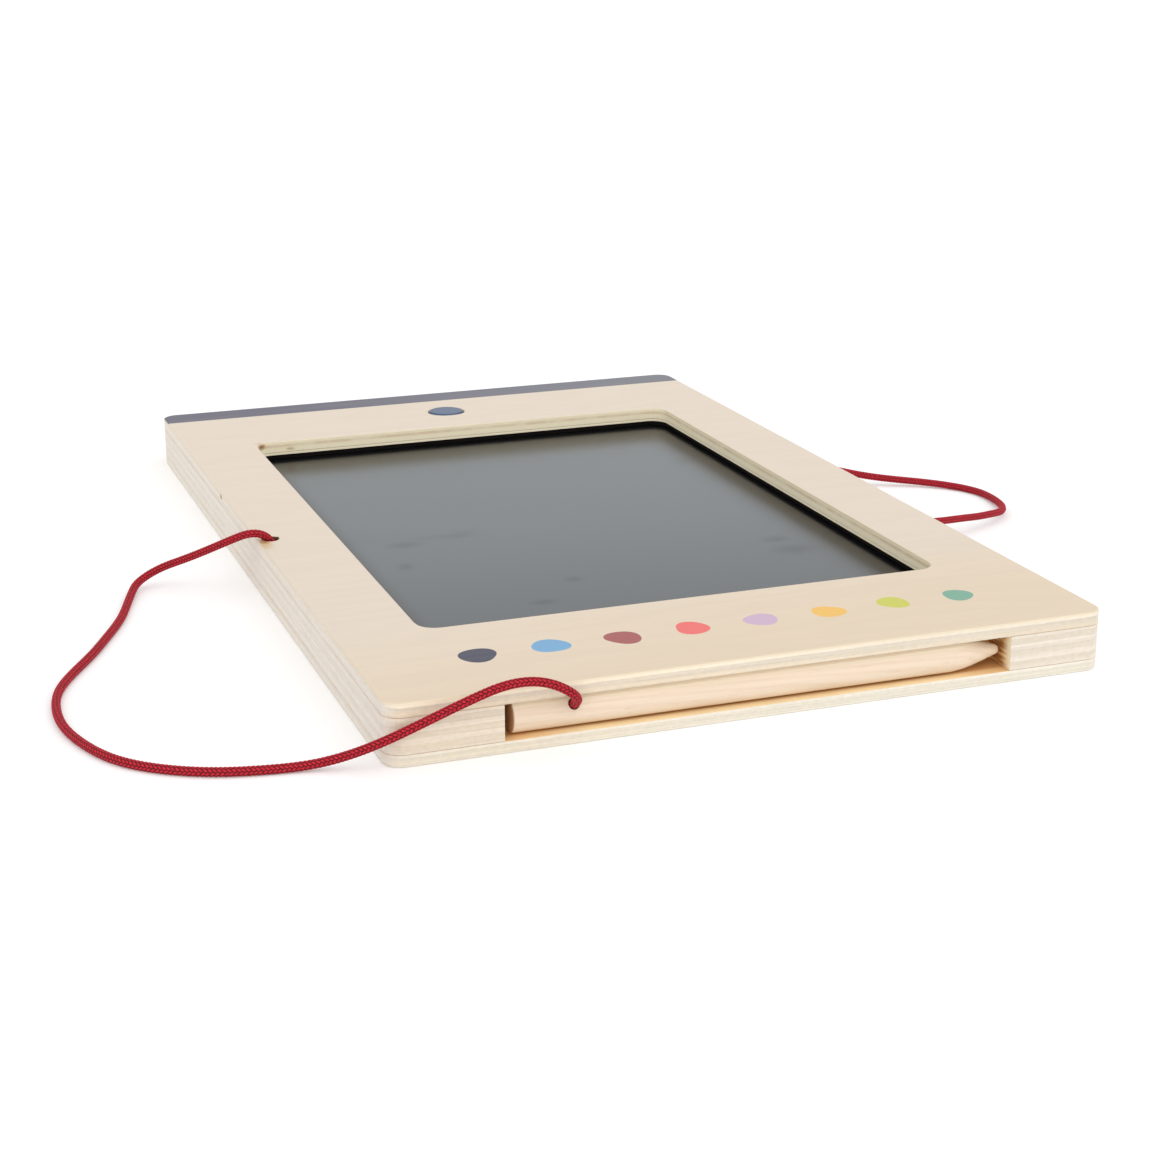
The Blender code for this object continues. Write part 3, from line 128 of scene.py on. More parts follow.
CARRY_LOOP_ROUTE = [
    (0.0795, -0.0315, 0.00675), (0.0820, -0.0315, 0.00675), (0.0860, -0.0315, 0.0066),
    (0.0920, -0.0310, 0.0062), (0.0990, -0.0293, 0.0055), (0.1060, -0.0270, 0.0048),
    (0.1125, -0.0245, 0.0040), (0.1181, -0.0216, 0.0033), (0.1228, -0.0184, 0.0026),
    (0.1265, -0.0136, 0.0020), (0.1292, -0.0070, 0.0015), (0.1305, 0.0000, 0.0012),
    (0.1304, 0.0060, 0.00105), (0.1285, 0.0112, 0.00105), (0.1248, 0.0160, 0.0012),
    (0.1196, 0.0202, 0.0015), (0.1140, 0.0233, 0.0019), (0.1085, 0.0257, 0.0025),
    (0.1030, 0.0278, 0.0034), (0.0975, 0.0298, 0.0046), (0.0920, 0.0310, 0.0058),
    (0.0865, 0.0315, 0.0065), (0.0820, 0.0315, 0.00675), (0.0795, 0.0315, 0.00675),
]
print("cord points:", len(STYLUS_CORD_ROUTE), "and", len(CARRY_LOOP_ROUTE))

# %% A smooth line through the points
MM = 0.001
POINTS_PER_SPAN = 40
BRAID_STEP = 0.18 * MM


def distances_along(line):
    """How far along a line each of its points is."""
    return np.concatenate([[0.0], np.cumsum(np.linalg.norm(np.diff(line, axis=0), axis=1))])


def smooth_line(route, step):
    """Points at even steps along the natural cubic spline through a route's own points."""
    places = np.array(route)
    gaps = np.linalg.norm(np.diff(places, axis=0), axis=1)
    slopes = np.diff(places, axis=0) / gaps[:, None]
    count = len(places)
    system = np.eye(count)
    bends = np.zeros((count, 3))
    for i in range(1, count - 1):
        system[i, i - 1:i + 2] = gaps[i - 1], 2 * (gaps[i - 1] + gaps[i]), gaps[i]
        bends[i] = 6 * (slopes[i] - slopes[i - 1])
    bends = np.linalg.solve(system, bends)
    line = []
    for i, gap in enumerate(gaps):
        for far in np.linspace(0.0, 1.0, POINTS_PER_SPAN, endpoint=False):
            near = 1 - far
            straight = near * places[i] + far * places[i + 1]
            bend = (near ** 3 - near) * bends[i] + (far ** 3 - far) * bends[i + 1]
            line.append(straight + gap ** 2 / 6 * bend)
    line = np.array(line + [places[-1]])
    run = distances_along(line)
    even = np.linspace(0.0, run[-1], int(round(run[-1] / step)) + 1)
    return np.stack([np.interp(even, run, line[:, axis]) for axis in range(3)], axis=1), run[-1]


stylus_line, stylus_cord_length = smooth_line(STYLUS_CORD_ROUTE, BRAID_STEP)
loop_line, loop_length = smooth_line(CARRY_LOOP_ROUTE, BRAID_STEP)
print("stylus cord %.1f mm, carry loop %.1f mm" % (stylus_cord_length / MM, loop_length / MM))

# %% [markdown]
# ## Braid
#
# A braided cord is made on a machine whose bobbins go round in two directions. Eight strands wind to the
# left and eight to the right, and each one passes over two of the others and then under two. Seen along
# the cord, that gives rows of small slanting stitches which lean to the left and to the right in turn.
#
# A bump texture would show the stitches only in a picture. Here the tube itself is shaped: every point of
# the tube finds the strand that lies on top there, and how high that strand is. The height is also kept on
# the mesh as an attribute, so that painted shade can darken the colour between the stitches.

# %% Height of the braid at any point of the tube
STRANDS_EACH_WAY = 8
STRANDS_CROSSED = 2
BRAID_PITCH = 7.5 * MM
ROUNDING = 1e-9


def braid_height(turn, along):
    """Height of the top strand, 0 to 1, at a share of a turn round the cord and a distance along it."""
    left = STRANDS_EACH_WAY * (turn + along / BRAID_PITCH)
    right = STRANDS_EACH_WAY * (turn - along / BRAID_PITCH)
    left_strand, right_strand = np.floor(left), np.floor(right)
    over_and_under = 2 * STRANDS_CROSSED
    left_on_top = (left_strand + right_strand) % over_and_under < STRANDS_CROSSED
    across = np.where(left_on_top, left - left_strand, right - right_strand)
    along_left = (left_strand + right) % over_and_under
    along_right = (left + right_strand) % over_and_under - STRANDS_CROSSED
    share = np.clip(np.where(left_on_top, along_left, along_right) / STRANDS_CROSSED, 0.0, 1.0)
    round_strand = np.sqrt(np.clip(1 - (2 * across - 1) ** 2, 0, 1))
    return round_strand * np.sqrt(np.sin(math.pi * share) + ROUNDING)


print("strands in the braid:", 2 * STRANDS_EACH_WAY)

# %% A tube with the braid in its skin
CORD_DIAMETER = 2.0 * MM
CORD_RADIUS = CORD_DIAMETER / 2
BRAID_GROOVE = 0.17 * MM
BRAID_CROWN = 0.03 * MM
CORD_SIDES = 48
NOT_ALONG_ANY_CORD = (0.3, 0.5, 0.8)


def side_directions(line):
    """Two directions square to the line at each of its points, which never twist round it."""
    ahead = np.gradient(line, axis=0)
    ahead /= np.linalg.norm(ahead, axis=1)[:, None]
    side = np.cross(ahead[0], NOT_ALONG_ANY_CORD)
    sides = []
    for direction in ahead:
        side = side - direction * np.dot(side, direction)
        side = side / np.linalg.norm(side)
        sides.append(side)
    sides = np.array(sides)
    return sides, np.cross(ahead, sides)


def tube_faces(rings, around):
    """Quads from ring to ring, and on each end a fan of triangles round a corner in its middle."""
    ring = np.arange(rings - 1)[:, None] * around
    here = np.arange(around)[None, :]
    following = (here + 1) % around
    corners = [ring + here, ring + following, ring + around + following, ring + around + here]
    faces = np.stack(corners, axis=-1).reshape(-1, 4).tolist()
    last = (rings - 1) * around
    start_middle = rings * around
    faces += [(start_middle, (i + 1) % around, i) for i in range(around)]
    faces += [(start_middle + 1, last + i, last + (i + 1) % around) for i in range(around)]
    return faces


def unwrap(mesh, along, around):
    """A UV map in which one unit is once round the cord, both ways. The end fans get no room."""
    layer = mesh.uv_layers.new(name="round_and_along")
    places = []
    for low_end, high_end in zip(along[:-1], along[1:]):
        for side in range(around):
            low, high = side / around, (side + 1) / around
            places += [low, low_end, high, low_end, high, high_end, low, high_end]
    fan_corners = 2 * 3 * around
    places += [0.0, 0.0] * fan_corners
    layer.data.foreach_set("uv", np.array(places, np.float32))


def braided_cord(name, line, radius, around=CORD_SIDES):
    """A closed tube along the line, with the stitches of a braid in its surface."""
    first, second = side_directions(line)
    along = distances_along(line)
    turn = np.arange(around) / around
    height = braid_height(turn[None, :], along[:, None])
    share = radius / CORD_RADIUS
    reach = radius + BRAID_CROWN * share - BRAID_GROOVE * share * (1 - height)
    angle = 2 * math.pi * turn
    cosines, sines = np.cos(angle)[None, :, None], np.sin(angle)[None, :, None]
    out = first[:, None] * cosines + second[:, None] * sines
    skin = (line[:, None] + out * reach[..., None]).reshape(-1, 3)
    corners = skin.tolist() + [line[0].tolist(), line[-1].tolist()]
    mesh = bpy.data.meshes.new(name)
    mesh.from_pydata(corners, [], tube_faces(len(line), around))
    mesh.shade_smooth()
    weave = mesh.attributes.new("weave", "FLOAT", "POINT")
    weave.data.foreach_set("value", np.concatenate([height.ravel(), [0.0, 0.0]]).astype(np.float32))
    unwrap(mesh, along / (2 * math.pi * radius), around)
    cord = bpy.data.objects.new(name, mesh)
    bpy.context.scene.collection.objects.link(cord)
    return cord


stylus_cord = braided_cord("stylus_cord_braid", stylus_line, CORD_RADIUS)
carry_loop = braided_cord("carry_loop_braid", loop_line, CORD_RADIUS)
for cord in (stylus_cord, carry_loop):
    print(cord.name, len(cord.data.polygons), "faces")

# %% [markdown]
# ## Knots
#
# Each cord end is tied in an overhand knot inside the plywood, which can't pull back through its hole. The
# line of such a knot is a trefoil. It is opened at one place, so that it has two ends, and scaled to the
# solid that keeps its place in the chamber.

# %% The three hidden knots
KNOT_CORD_SHARE = 0.34
KNOT_OPENING_SHARE = 0.04
KNOT_ROOM_SHARE = 1.1
KNOT_POINTS = 90
KNOT_SIDES = 24
TREFOIL_REACH = (3.0, 3.0, 1.0)


def overhand_knot(name, node):
    """An open trefoil that fills the box of a node, made of the same braid."""
    low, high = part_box(node)
    centre, half = (low + high) / 2, (high - low) / 2
    thickness = min(half) * KNOT_CORD_SHARE
    share = np.linspace(KNOT_OPENING_SHARE, 1 - KNOT_OPENING_SHARE, KNOT_POINTS)
    t = 2 * math.pi * share
    across = np.sin(t) + 2 * np.sin(2 * t)
    along = np.cos(t) - 2 * np.cos(2 * t)
    trefoil = np.stack([across, along, -np.sin(3 * t)], axis=1) / np.array(TREFOIL_REACH)
    room = np.array(half) - thickness * KNOT_ROOM_SHARE
    return braided_cord(name, np.array(centre) + trefoil * room, thickness, KNOT_SIDES)


knots = {node: overhand_knot(node + "_tied", node) for node in
         ("stylus_cord_knot", "carry_loop_knot_front", "carry_loop_knot_back")}
print("knots:", sorted(knots))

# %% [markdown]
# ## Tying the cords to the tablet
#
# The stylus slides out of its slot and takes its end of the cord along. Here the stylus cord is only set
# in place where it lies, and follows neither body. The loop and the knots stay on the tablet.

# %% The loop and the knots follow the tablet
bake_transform(stylus_cord)
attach(carry_loop, "tablet")
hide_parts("stylus_cord")
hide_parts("carry_loop")
for node, knot in knots.items():
    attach(knot, "tablet")
    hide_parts(node)
print("on the tablet:", carry_loop.name, "and", len(knots), "knots")

# %% The box of the top board
body_low, body_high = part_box("top_plate")

# %% [markdown]
# ## Snap dome under the button
#
# Under the button's plunger lies a thin domed disc of spring steel. It snaps flat when it is pressed, which
# gives the click, and closes the switch. A disc that is pressed from flat sheet is curved the same
# everywhere, so it is a cap cut from a sphere and given the thickness of the sheet.

# %% The dome, cut from a sphere
DOME_THICKNESS = 0.15 * MM
DOME_SEGMENTS = 48
DOME_RINGS = 64
DOME_SHARP_ANGLE = math.radians(40)
UPWARDS = (0.0, 0.0, 1.0)
dome_low, dome_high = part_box("switch_dome")
dome_middle = (dome_low + dome_high) / 2
dome_rim = dome_high.x - dome_middle.x
dome_rise = dome_high.z - dome_low.z - DOME_THICKNESS
sphere_radius = (dome_rim ** 2 + dome_rise ** 2) / (2 * dome_rise)

bpy.ops.object.select_all(action="DESELECT")
bpy.ops.mesh.primitive_uv_sphere_add(segments=DOME_SEGMENTS, ring_count=DOME_RINGS, radius=sphere_radius,
                                     location=(dome_middle.x, dome_middle.y, dome_high.z - sphere_radius))
snap_dome = bpy.context.object
snap_dome.name = "snap_dome"
bpy.ops.object.mode_set(mode="EDIT")
bpy.ops.mesh.select_all(action="SELECT")
bpy.ops.mesh.bisect(plane_co=(0.0, 0.0, dome_high.z - dome_rise), plane_no=UPWARDS, clear_inner=True)
bpy.ops.object.mode_set(mode="OBJECT")
sheet = snap_dome.modifiers.new("sheet", "SOLIDIFY")
sheet.thickness = DOME_THICKNESS
sheet.offset = -1.0
bpy.ops.object.modifier_apply(modifier=sheet.name)
bpy.ops.object.transform_apply(location=True, rotation=True, scale=True)
bpy.ops.object.shade_smooth_by_angle(angle=DOME_SHARP_ANGLE)
print("dome:", len(snap_dome.data.polygons), "faces, sphere of %.2f mm" % (sphere_radius / MM))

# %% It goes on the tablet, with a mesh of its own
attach(snap_dome, "tablet")
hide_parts("switch_dome")
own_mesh(snap_dome)

# %% [markdown]
# ## Writing a finish as a sum
#
# A procedural finish is a graph of small nodes, and a graph of fifty nodes is hard to read. Here one small
# class wraps an output socket. A sum, difference, product or quotient of such values adds the Math node
# that works it out, so a mask can be written as `1 - mask`. Any other kind of node comes from the one
# method `node`.

# %% A class for shader values
class Shade:
    """One value in a material's node graph."""

    def __init__(self, tree, socket=None):
        self.tree = tree
        self.socket = socket

    def node(self, kind, settings=None, sockets=None, out=0):
        """Adds a node, changes its settings, fills or links its sockets, and gives one of its outputs."""
        made = self.tree.nodes.new("ShaderNode" + kind)
        for name, value in (settings or {}).items():
            if name == "stops":
                fill_ramp(made.color_ramp, value)
            else:
                setattr(made, name, value)
        for name, value in (sockets or {}).items():
            self.put(made.inputs[name], value)
        return Shade(self.tree, made.outputs[out])

    def put(self, socket, value):
        """Links a shader value to a socket, or sets the socket to a plain value."""
        if isinstance(value, Shade):
            self.tree.links.new(value.socket, socket)
        else:
            socket.default_value = value

    def math(self, operation, *others):
        """A Math node on this value and the others."""
        return self.node("Math", {"operation": operation}, dict(enumerate((self, *others))))

    def __add__(self, other):
        return self.math("ADD", other)

    def __sub__(self, other):
        return self.math("SUBTRACT", other)

    def __mul__(self, other):
        return self.math("MULTIPLY", other)

    def __truediv__(self, other):
        return self.math("DIVIDE", other)

    def __rsub__(self, other):
        return self.node("Math", {"operation": "SUBTRACT"}, {0: other, 1: self})

    __radd__ = __add__
    __rmul__ = __mul__


def fill_ramp(ramp, stops):
    """Puts stops, pairs of a place and a colour or grey value, on a colour ramp."""
    while len(ramp.elements) < len(stops):
        ramp.elements.new(1.0)
    for element, (place, colour) in zip(ramp.elements, stops):
        element.position = place
        element.color = (colour,) * 3 + (1.0,) if isinstance(colour, float) else (*colour, 1.0)


print("shader values ready")

# %% [markdown]
# ## Words for patterns
#
# These helpers name what a maker sees: noise that is stretched along the grain, a mask with a soft edge,
# a blend of two colours. Noise is read at Object coordinates, in metres, so the pattern keeps its real
# size. Many values are a noise spread over a small range, and `span` writes that as its two ends.

# %% Noise, masks and colour blends
RAG_SCALE = 700.0


def start_finish(name, **constants):
    """A new material, and the empty value from which its nodes grow. Constants go on the shader itself."""
    material = bpy.data.materials.new(name)
    material.use_nodes = True
    shader = material.node_tree.nodes["Principled BSDF"]
    for socket, value in constants.items():
        shader.inputs[socket.replace("_", " ")].default_value = value
    return material, Shade(material.node_tree)


def end_finish(material, colour, roughness, normal, coat=None):
    """Links what changes over the surface to the material's shader."""
    shader = material.node_tree.nodes["Principled BSDF"]
    links = {"Base Color": colour, "Roughness": roughness, "Normal": normal, "Coat Weight": coat}
    for socket, value in links.items():
        if value is not None:
            material.node_tree.links.new(value.socket, shader.inputs[socket])
    return material


def place_on(start):
    """Object coordinates, and each of the three alone."""
    place = start.node("TexCoord", out="Object")
    return (place, *(start.node("SeparateXYZ", sockets={0: place}, out=axis) for axis in range(3)))


def noise(place, scale, detail=3.0, stretch=(1.0, 1.0, 1.0), move=(0.0, 0.0, 0.0), rough=0.5):
    """Noise from 0 to 1. Scale is features a metre, and stretch makes them longer where it is under 1."""
    moved = place.node("Mapping", sockets={"Vector": place, "Scale": stretch, "Location": move})
    sockets = {"Vector": moved, "Scale": scale, "Detail": detail, "Roughness": rough}
    return place.node("TexNoise", sockets=sockets)


def between(value, low, high):
    """A soft step that is 0 at low and 1 at high, or the other way round where low is more than high."""
    settings = {"interpolation_type": "SMOOTHSTEP"}
    return value.node("MapRange", settings, {"Value": value, "From Min": low, "From Max": high})


def span(value, low, high):
    """A value from 0 to 1, spread evenly from low to high."""
    return low + (high - low) * value


def blend_colour(factor, colour_a, colour_b, how="MIX"):
    """Two colours, each three numbers or the output of nodes, mixed by a factor from 0 to 1."""
    def full(colour):
        return colour if isinstance(colour, Shade) else (*colour, 1.0)
    return factor.node("Mix", {"data_type": "RGBA", "blend_type": how},
                       {0: factor, 6: full(colour_a), 7: full(colour_b)}, out=2)


def tint(colour, amount):
    """The colour made lighter or darker by a factor."""
    return amount.node("VectorMath", {"operation": "SCALE"}, {0: colour, "Scale": amount})


def spot(place, centre, reach, ragged=0.5, soft=0.65):
    """A mask about a point, as long, deep and high as its reach, with a ragged edge that fades inwards."""
    offset = place.node("VectorMath", {"operation": "SUBTRACT"}, {0: place, 1: centre})
    shares = place.node("VectorMath", {"operation": "DIVIDE"}, {0: offset, 1: reach})
    distance = place.node("VectorMath", {"operation": "LENGTH"}, {0: shares}, out="Value")
    rag = noise(place, RAG_SCALE, 2.0, move=centre) - 0.5
    return between(distance + rag * ragged, 1.0, 1.0 - soft)


def bump(height, distance):
    """A normal that tilts with a height from 0 to 1, which stands for a distance in metres."""
    return height.node("Bump", sockets={"Height": height, "Distance": distance}, out="Normal")


print("pattern helpers ready")

# %% [markdown]
# ## Plywood
#
# Plywood is thin sheets of wood, glued with their grain crosswise. On a face one sees the last sheet:
# pale, nearly even, with fine fibres along X. On an edge one sees each sheet in turn: the ones that are
# cut along the grain are creamy and streaked, the ones that are cut across it are a little browner and
# dotted with pores, and a thin brown line of glue lies between them. Which sheets are cut across depends
# on the side, so the pattern swaps between the sides that face X and those that face Y. No two sheets of
# veneer have quite the same tone, so the front and back edges of a board are lighter or browner by sheet.
# Where the window was cut out, the walls are painted a cream that is lighter and warmer than the sheets, as
# painted light, with one brown line that breaks off here and there.

# %% Colours and layers of the plywood
FACE_PALE = (0.753, 0.642, 0.526)
FACE_HONEY = (0.755, 0.616, 0.453)
LONG_GRAIN = (0.800, 0.722, 0.615)
CROSS_GRAIN = (0.735, 0.650, 0.535)
GLUE_BROWN = (0.42, 0.29, 0.17)
FRONT_WARMTH = (1.00, 0.975, 0.930)
SIDE_PAINTED_COOL_LIGHT = (1.03, 1.045, 1.09)
CUT_CREAM_PAINTED_LIGHT = (0.99, 0.89, 0.65)
CUT_BROWN = (0.82, 0.66, 0.44)
TOP_PLIES = (1.15 * MM, 0.95 * MM, 1.10 * MM)
MIDDLE_PLIES = (0.70 * MM,) + (1.30 * MM,) * 5 + (0.70 * MM,)
BOTTOM_PLIES = (0.60 * MM, 1.50 * MM, 0.60 * MM)
GLUE_WIDTH = 0.09 * MM
SHEET_DRIFT = 0.35 * MM
SHEET_RIPPLE = 0.06 * MM
ALONG_X = (0.04, 1.0, 1.0)
SLOW_UPWARDS = (1.0, 1.0, 0.3)
FIGURE_WAVES = 42.0
HONEY_SLANT = 0.12
HONEY_BLOTCH = 40.0 * MM
HONEY_GROWS = (-60.0 * MM, -125.0 * MM)


def ply_masks(z, low, plies):
    """Two masks up the thickness of a board: 1 in every second sheet, and 1 on the lines of glue."""
    thickness = sum(plies)
    share = (z - low) / thickness
    sheets = []
    lines = [(0.0, 0.0)]
    level = 0.0
    for index, ply in enumerate(plies):
        sheets.append((level / thickness, float(index % 2)))
        if index:
            lines += [((level - GLUE_WIDTH) / thickness, 0.0), (level / thickness, 1.0),
                      ((level + GLUE_WIDTH) / thickness, 0.0)]
        level += ply
    second = share.node("ValToRGB", {"stops": sheets}, {0: share})
    second.socket.node.color_ramp.interpolation = "CONSTANT"
    glue = share.node("ValToRGB", {"stops": lines}, {0: share})
    return second, glue


def face_grain(place, x, y):
    """Colour, fibres and pores of the last sheet, which is a little more like honey towards the front."""
    fibres = noise(place, 900.0, 4.0, ALONG_X)
    figure = noise(place, 60.0, 2.0, (0.16, 1.0, 1.0), rough=0.4)
    bands = (figure * FIGURE_WAVES).math("SINE")
    pores = between(noise(place, 2200.0, 1.0, (0.10, 1.0, 1.0), move=(0.3, 0.1, 0.0)), 0.66, 0.78)
    blotches = noise(place, 22.0, 2.0, (0.6, 1.0, 1.0), move=(2.0, 1.0, 0.0)) - 0.5
    honey = between(y - x * HONEY_SLANT + blotches * HONEY_BLOTCH, *HONEY_GROWS)
    grain = (span(fibres, 0.955, 1.030) + 0.010 * bands) * span(pores, 1.0, 0.945)
    return tint(blend_colour(honey, FACE_PALE, FACE_HONEY), grain), fibres, pores


def edge_grain(place, z, looks_sideways, low, plies):
    """Colour, height and pores of the sheets, seen on the edge of a board."""
    drift = noise(place, 35.0, 2.0, SLOW_UPWARDS, move=(0.5, 0.0, 0.0)) - 0.5
    ripple = noise(place, 400.0, 1.0, SLOW_UPWARDS) - 0.5
    second, glue = ply_masks(z + drift * SHEET_DRIFT + ripple * SHEET_RIPPLE, low, plies)
    patchy = between(noise(place, 60.0, 2.0, (1.0, 1.0, 0.2), move=(1.0, 0.0, 0.0)), 0.35, 0.70)
    across_on_side = (1 - second) * looks_sideways * span(patchy, 1.0, 0.4)
    across = second * (1 - looks_sideways) + across_on_side
    streaks = noise(place, 700.0, 4.0, (0.06, 0.06, 3.0), move=(0.0, 0.7, 0.0))
    dots = noise(place, 3200.0, 2.0, (1.0, 1.0, 0.6))
    threads = noise(place, 1.0, 2.0, (11.0, 11.0, 1300.0), move=(0.3, 0.2, 0.7), rough=0.6) - 0.5
    mottle = noise(place, 1400.0, 2.0, (0.5, 0.5, 0.8), move=(0.0, 0.4, 0.9)) - 0.5
    long_colour = tint(LONG_GRAIN, span(streaks, 0.93, 1.07))
    cross_colour = tint(CROSS_GRAIN, span(dots, 0.92, 1.08))
    colour = blend_colour(across * span(looks_sideways, 1.0, 0.75), long_colour, cross_colour)
    colour = tint(colour, 1.0 + threads * span(looks_sideways, 0.32, 0.20) + mottle * 0.20)
    colour = blend_colour(glue * patchy * 0.35, colour, GLUE_BROWN)
    return colour, 0.5 * streaks + 0.4 * across - 0.6 * glue, dots


print("sheets in the boards:", [len(plies) for plies in (TOP_PLIES, MIDDLE_PLIES, BOTTOM_PLIES)])

# %% One plywood for all three boards
FACES_UP = (0.75, 0.92)
FACES_SIDEWAYS = (-0.8, 0.8)
WARMTH_GROWS = (30.0 * MM, -70.0 * MM)
INSIDE_THE_BODY = (0.8 * MM, 2.5 * MM)
CUT_LINE_HEIGHT = 1.85 * MM
CUT_LINE_RAG = 0.25 * MM
CUT_LINE_EDGE = (0.55 * MM, 0.25 * MM)


def plywood(start, low, plies):
    """Three groups: colour, roughness and height, then masks of flat faces and ends, then the place."""
    place, x, y, z = place_on(start)
    facing = start.node("NewGeometry", out="Normal")
    face_x, face_y, face_z = (start.node("SeparateXYZ", sockets={0: facing}, out=axis).math("ABSOLUTE")
                              for axis in range(3))
    flat = between(face_z, *FACES_UP)
    face_colour, fibres, pores = face_grain(place, x, y)
    looks_sideways = between(face_x - face_y, *FACES_SIDEWAYS)
    edge_colour, edge_height, dots = edge_grain(place, z, looks_sideways, low, plies)

    front_left = (1 - looks_sideways) * between(x, *WARMTH_GROWS)
    edge_colour = blend_colour(front_left, edge_colour, FRONT_WARMTH, "MULTIPLY")
    # Painted light: the sides that face X are made lighter and cooler than those that face Y.
    edge_colour = blend_colour(looks_sideways, edge_colour, SIDE_PAINTED_COOL_LIGHT, "MULTIPLY")

    inward_x = between(body_high.x - x.math("ABSOLUTE"), *INSIDE_THE_BODY)
    inward_y = between(body_high.y - y.math("ABSOLUTE"), *INSIDE_THE_BODY)
    # Painted light: the cut walls of the window and the slot get a cream that is lighter and warmer than
    # the sheets.
    cut_wall = inward_x * inward_y * (1 - flat)
    from_line = (z - low - CUT_LINE_HEIGHT + (dots - 0.5) * CUT_LINE_RAG).math("ABSOLUTE")
    broken = between(noise(place, 150.0, 2.0, SLOW_UPWARDS), 0.35, 0.65)
    line = between(from_line, *CUT_LINE_EDGE) * span(broken, 0.4, 1.0)
    cut_colour = tint(blend_colour(line, CUT_CREAM_PAINTED_LIGHT, CUT_BROWN), span(dots, 0.90, 1.10))
    edge_colour = blend_colour(cut_wall * 0.95, edge_colour, cut_colour)

    colour = blend_colour(flat, edge_colour, face_colour)
    roughness = flat * span(fibres, 0.40, 0.50) + (1 - flat) * span(dots, 0.60, 0.72)
    height = flat * (0.6 * fibres - 0.5 * pores) + (1 - flat) * edge_height
    ends = (1 - flat) * (1 - looks_sideways) * (1 - cut_wall)
    return (colour, roughness, height), (flat, ends), (place, x, y, z)


print("plywood ready")

# %% [markdown]
# ## What is printed, burnt and grown into the top
#
# A dark blue band is printed along the back edge, and a row of eight patches of colour in front of the
# window. The ink is thin, so the grain still shows through. The patches are drawn by one formula: the row
# is cut into eight cells, and in each cell a circle is pushed in and out a little by two waves round it,
# with other phases in every cell.
#
# The cutter that made the cord hole and the slot for the stylus scorched the wood a little, so it is
# orange-brown there. Painted light and shade are mixed into that colour: the wall of the cord hole is
# painted nearly black as shade, and the slot has painted light at its front and painted shade deeper in
# and under the stylus. The sheets have a few small knots, with a dark heart in an orange ring.

# %% The printed patches
PATCH_COLOURS = (
    (0.006, 0.008, 0.045), (0.130, 0.362, 0.615), (0.330, 0.043, 0.040), (0.820, 0.108, 0.097),
    (0.585, 0.405, 0.560), (0.860, 0.490, 0.065), (0.570, 0.580, 0.040), (0.135, 0.370, 0.255),
)
PATCH_PITCH = 16.42 * MM
PATCH_FIRST_X = -57.2 * MM
PATCH_Y = -108.6 * MM
PATCH_RADIUS = 4.20 * MM
PATCH_SHRINK = 0.08 * MM
PATCH_NUDGE = 0.35 * MM
PATCH_PUSH = 0.05
NUDGE_PHASE, TWO_WAVES_PHASE, THREE_WAVES_PHASE = 2.3, 1.7, 2.9
INK_EDGE = 0.06 * MM


def patches(x, y):
    """A mask of the eight patches, and the colour of the patch in each cell of the row."""
    count = len(PATCH_COLOURS)
    cell = ((x - PATCH_FIRST_X) / PATCH_PITCH + 0.5).math("FLOOR")
    inside = between(cell, -1.0, -0.5) * between(cell, count, count - 0.5)
    across = x - PATCH_FIRST_X - cell * PATCH_PITCH
    deep = y - PATCH_Y - (cell * NUDGE_PHASE).math("SINE") * PATCH_NUDGE
    angle = deep.math("ARCTAN2", across)
    distance = (across * across + deep * deep).math("SQRT")
    two_waves = (angle * 2.0 + cell * TWO_WAVES_PHASE).math("SINE")
    three_waves = (angle * 3.0 + cell * THREE_WAVES_PHASE).math("SINE")
    push = 1.0 + PATCH_PUSH * two_waves + PATCH_PUSH * three_waves
    edge = push * (PATCH_RADIUS - cell * PATCH_SHRINK)
    mask = between(distance - edge, INK_EDGE, -INK_EDGE) * inside
    stops = [(index / count, colour) for index, colour in enumerate(PATCH_COLOURS)]
    colour = x.node("ValToRGB", {"stops": stops}, {0: (cell + 0.5) / count})
    colour.socket.node.color_ramp.interpolation = "CONSTANT"
    return mask, colour


print("patches:", len(PATCH_COLOURS))

# %% Knots in the wood
KNOT_ORANGE = (0.47, 0.25, 0.085)
KNOT_BROWN = (0.24, 0.11, 0.04)
KNOT_HEART_SHARE = 0.55
KNOT_COVER = 0.8
WOOD_KNOTS = (
    ((-83.3 * MM, 37.2 * MM, 12.8 * MM), (0.9 * MM, 2.1 * MM, 0.95 * MM), 0.9),
    ((-62.6 * MM, 85.3 * MM, 13.1 * MM), (3.0 * MM, 2.6 * MM, 1.3 * MM), 1.0),
    ((-53.4 * MM, 86.0 * MM, 11.6 * MM), (2.0 * MM, 0.8 * MM, 0.7 * MM), 0.4),
    ((41.0 * MM, 130.0 * MM, 6.0 * MM), (2.2 * MM, 1.0 * MM, 1.1 * MM), 1.0),
)


def with_knots(place, colour):
    """The colour with each knot's orange ring and its brown heart laid over it."""
    for centre, reach, strength in WOOD_KNOTS:
        ring = spot(place, centre, reach, 0.9) * KNOT_COVER * strength
        colour = blend_colour(ring, colour, KNOT_ORANGE)
        heart_reach = tuple(length * KNOT_HEART_SHARE for length in reach)
        heart = spot(place, centre, heart_reach) * KNOT_COVER * strength
        colour = blend_colour(heart, colour, KNOT_BROWN)
    return colour


print("knots in the wood:", len(WOOD_KNOTS))

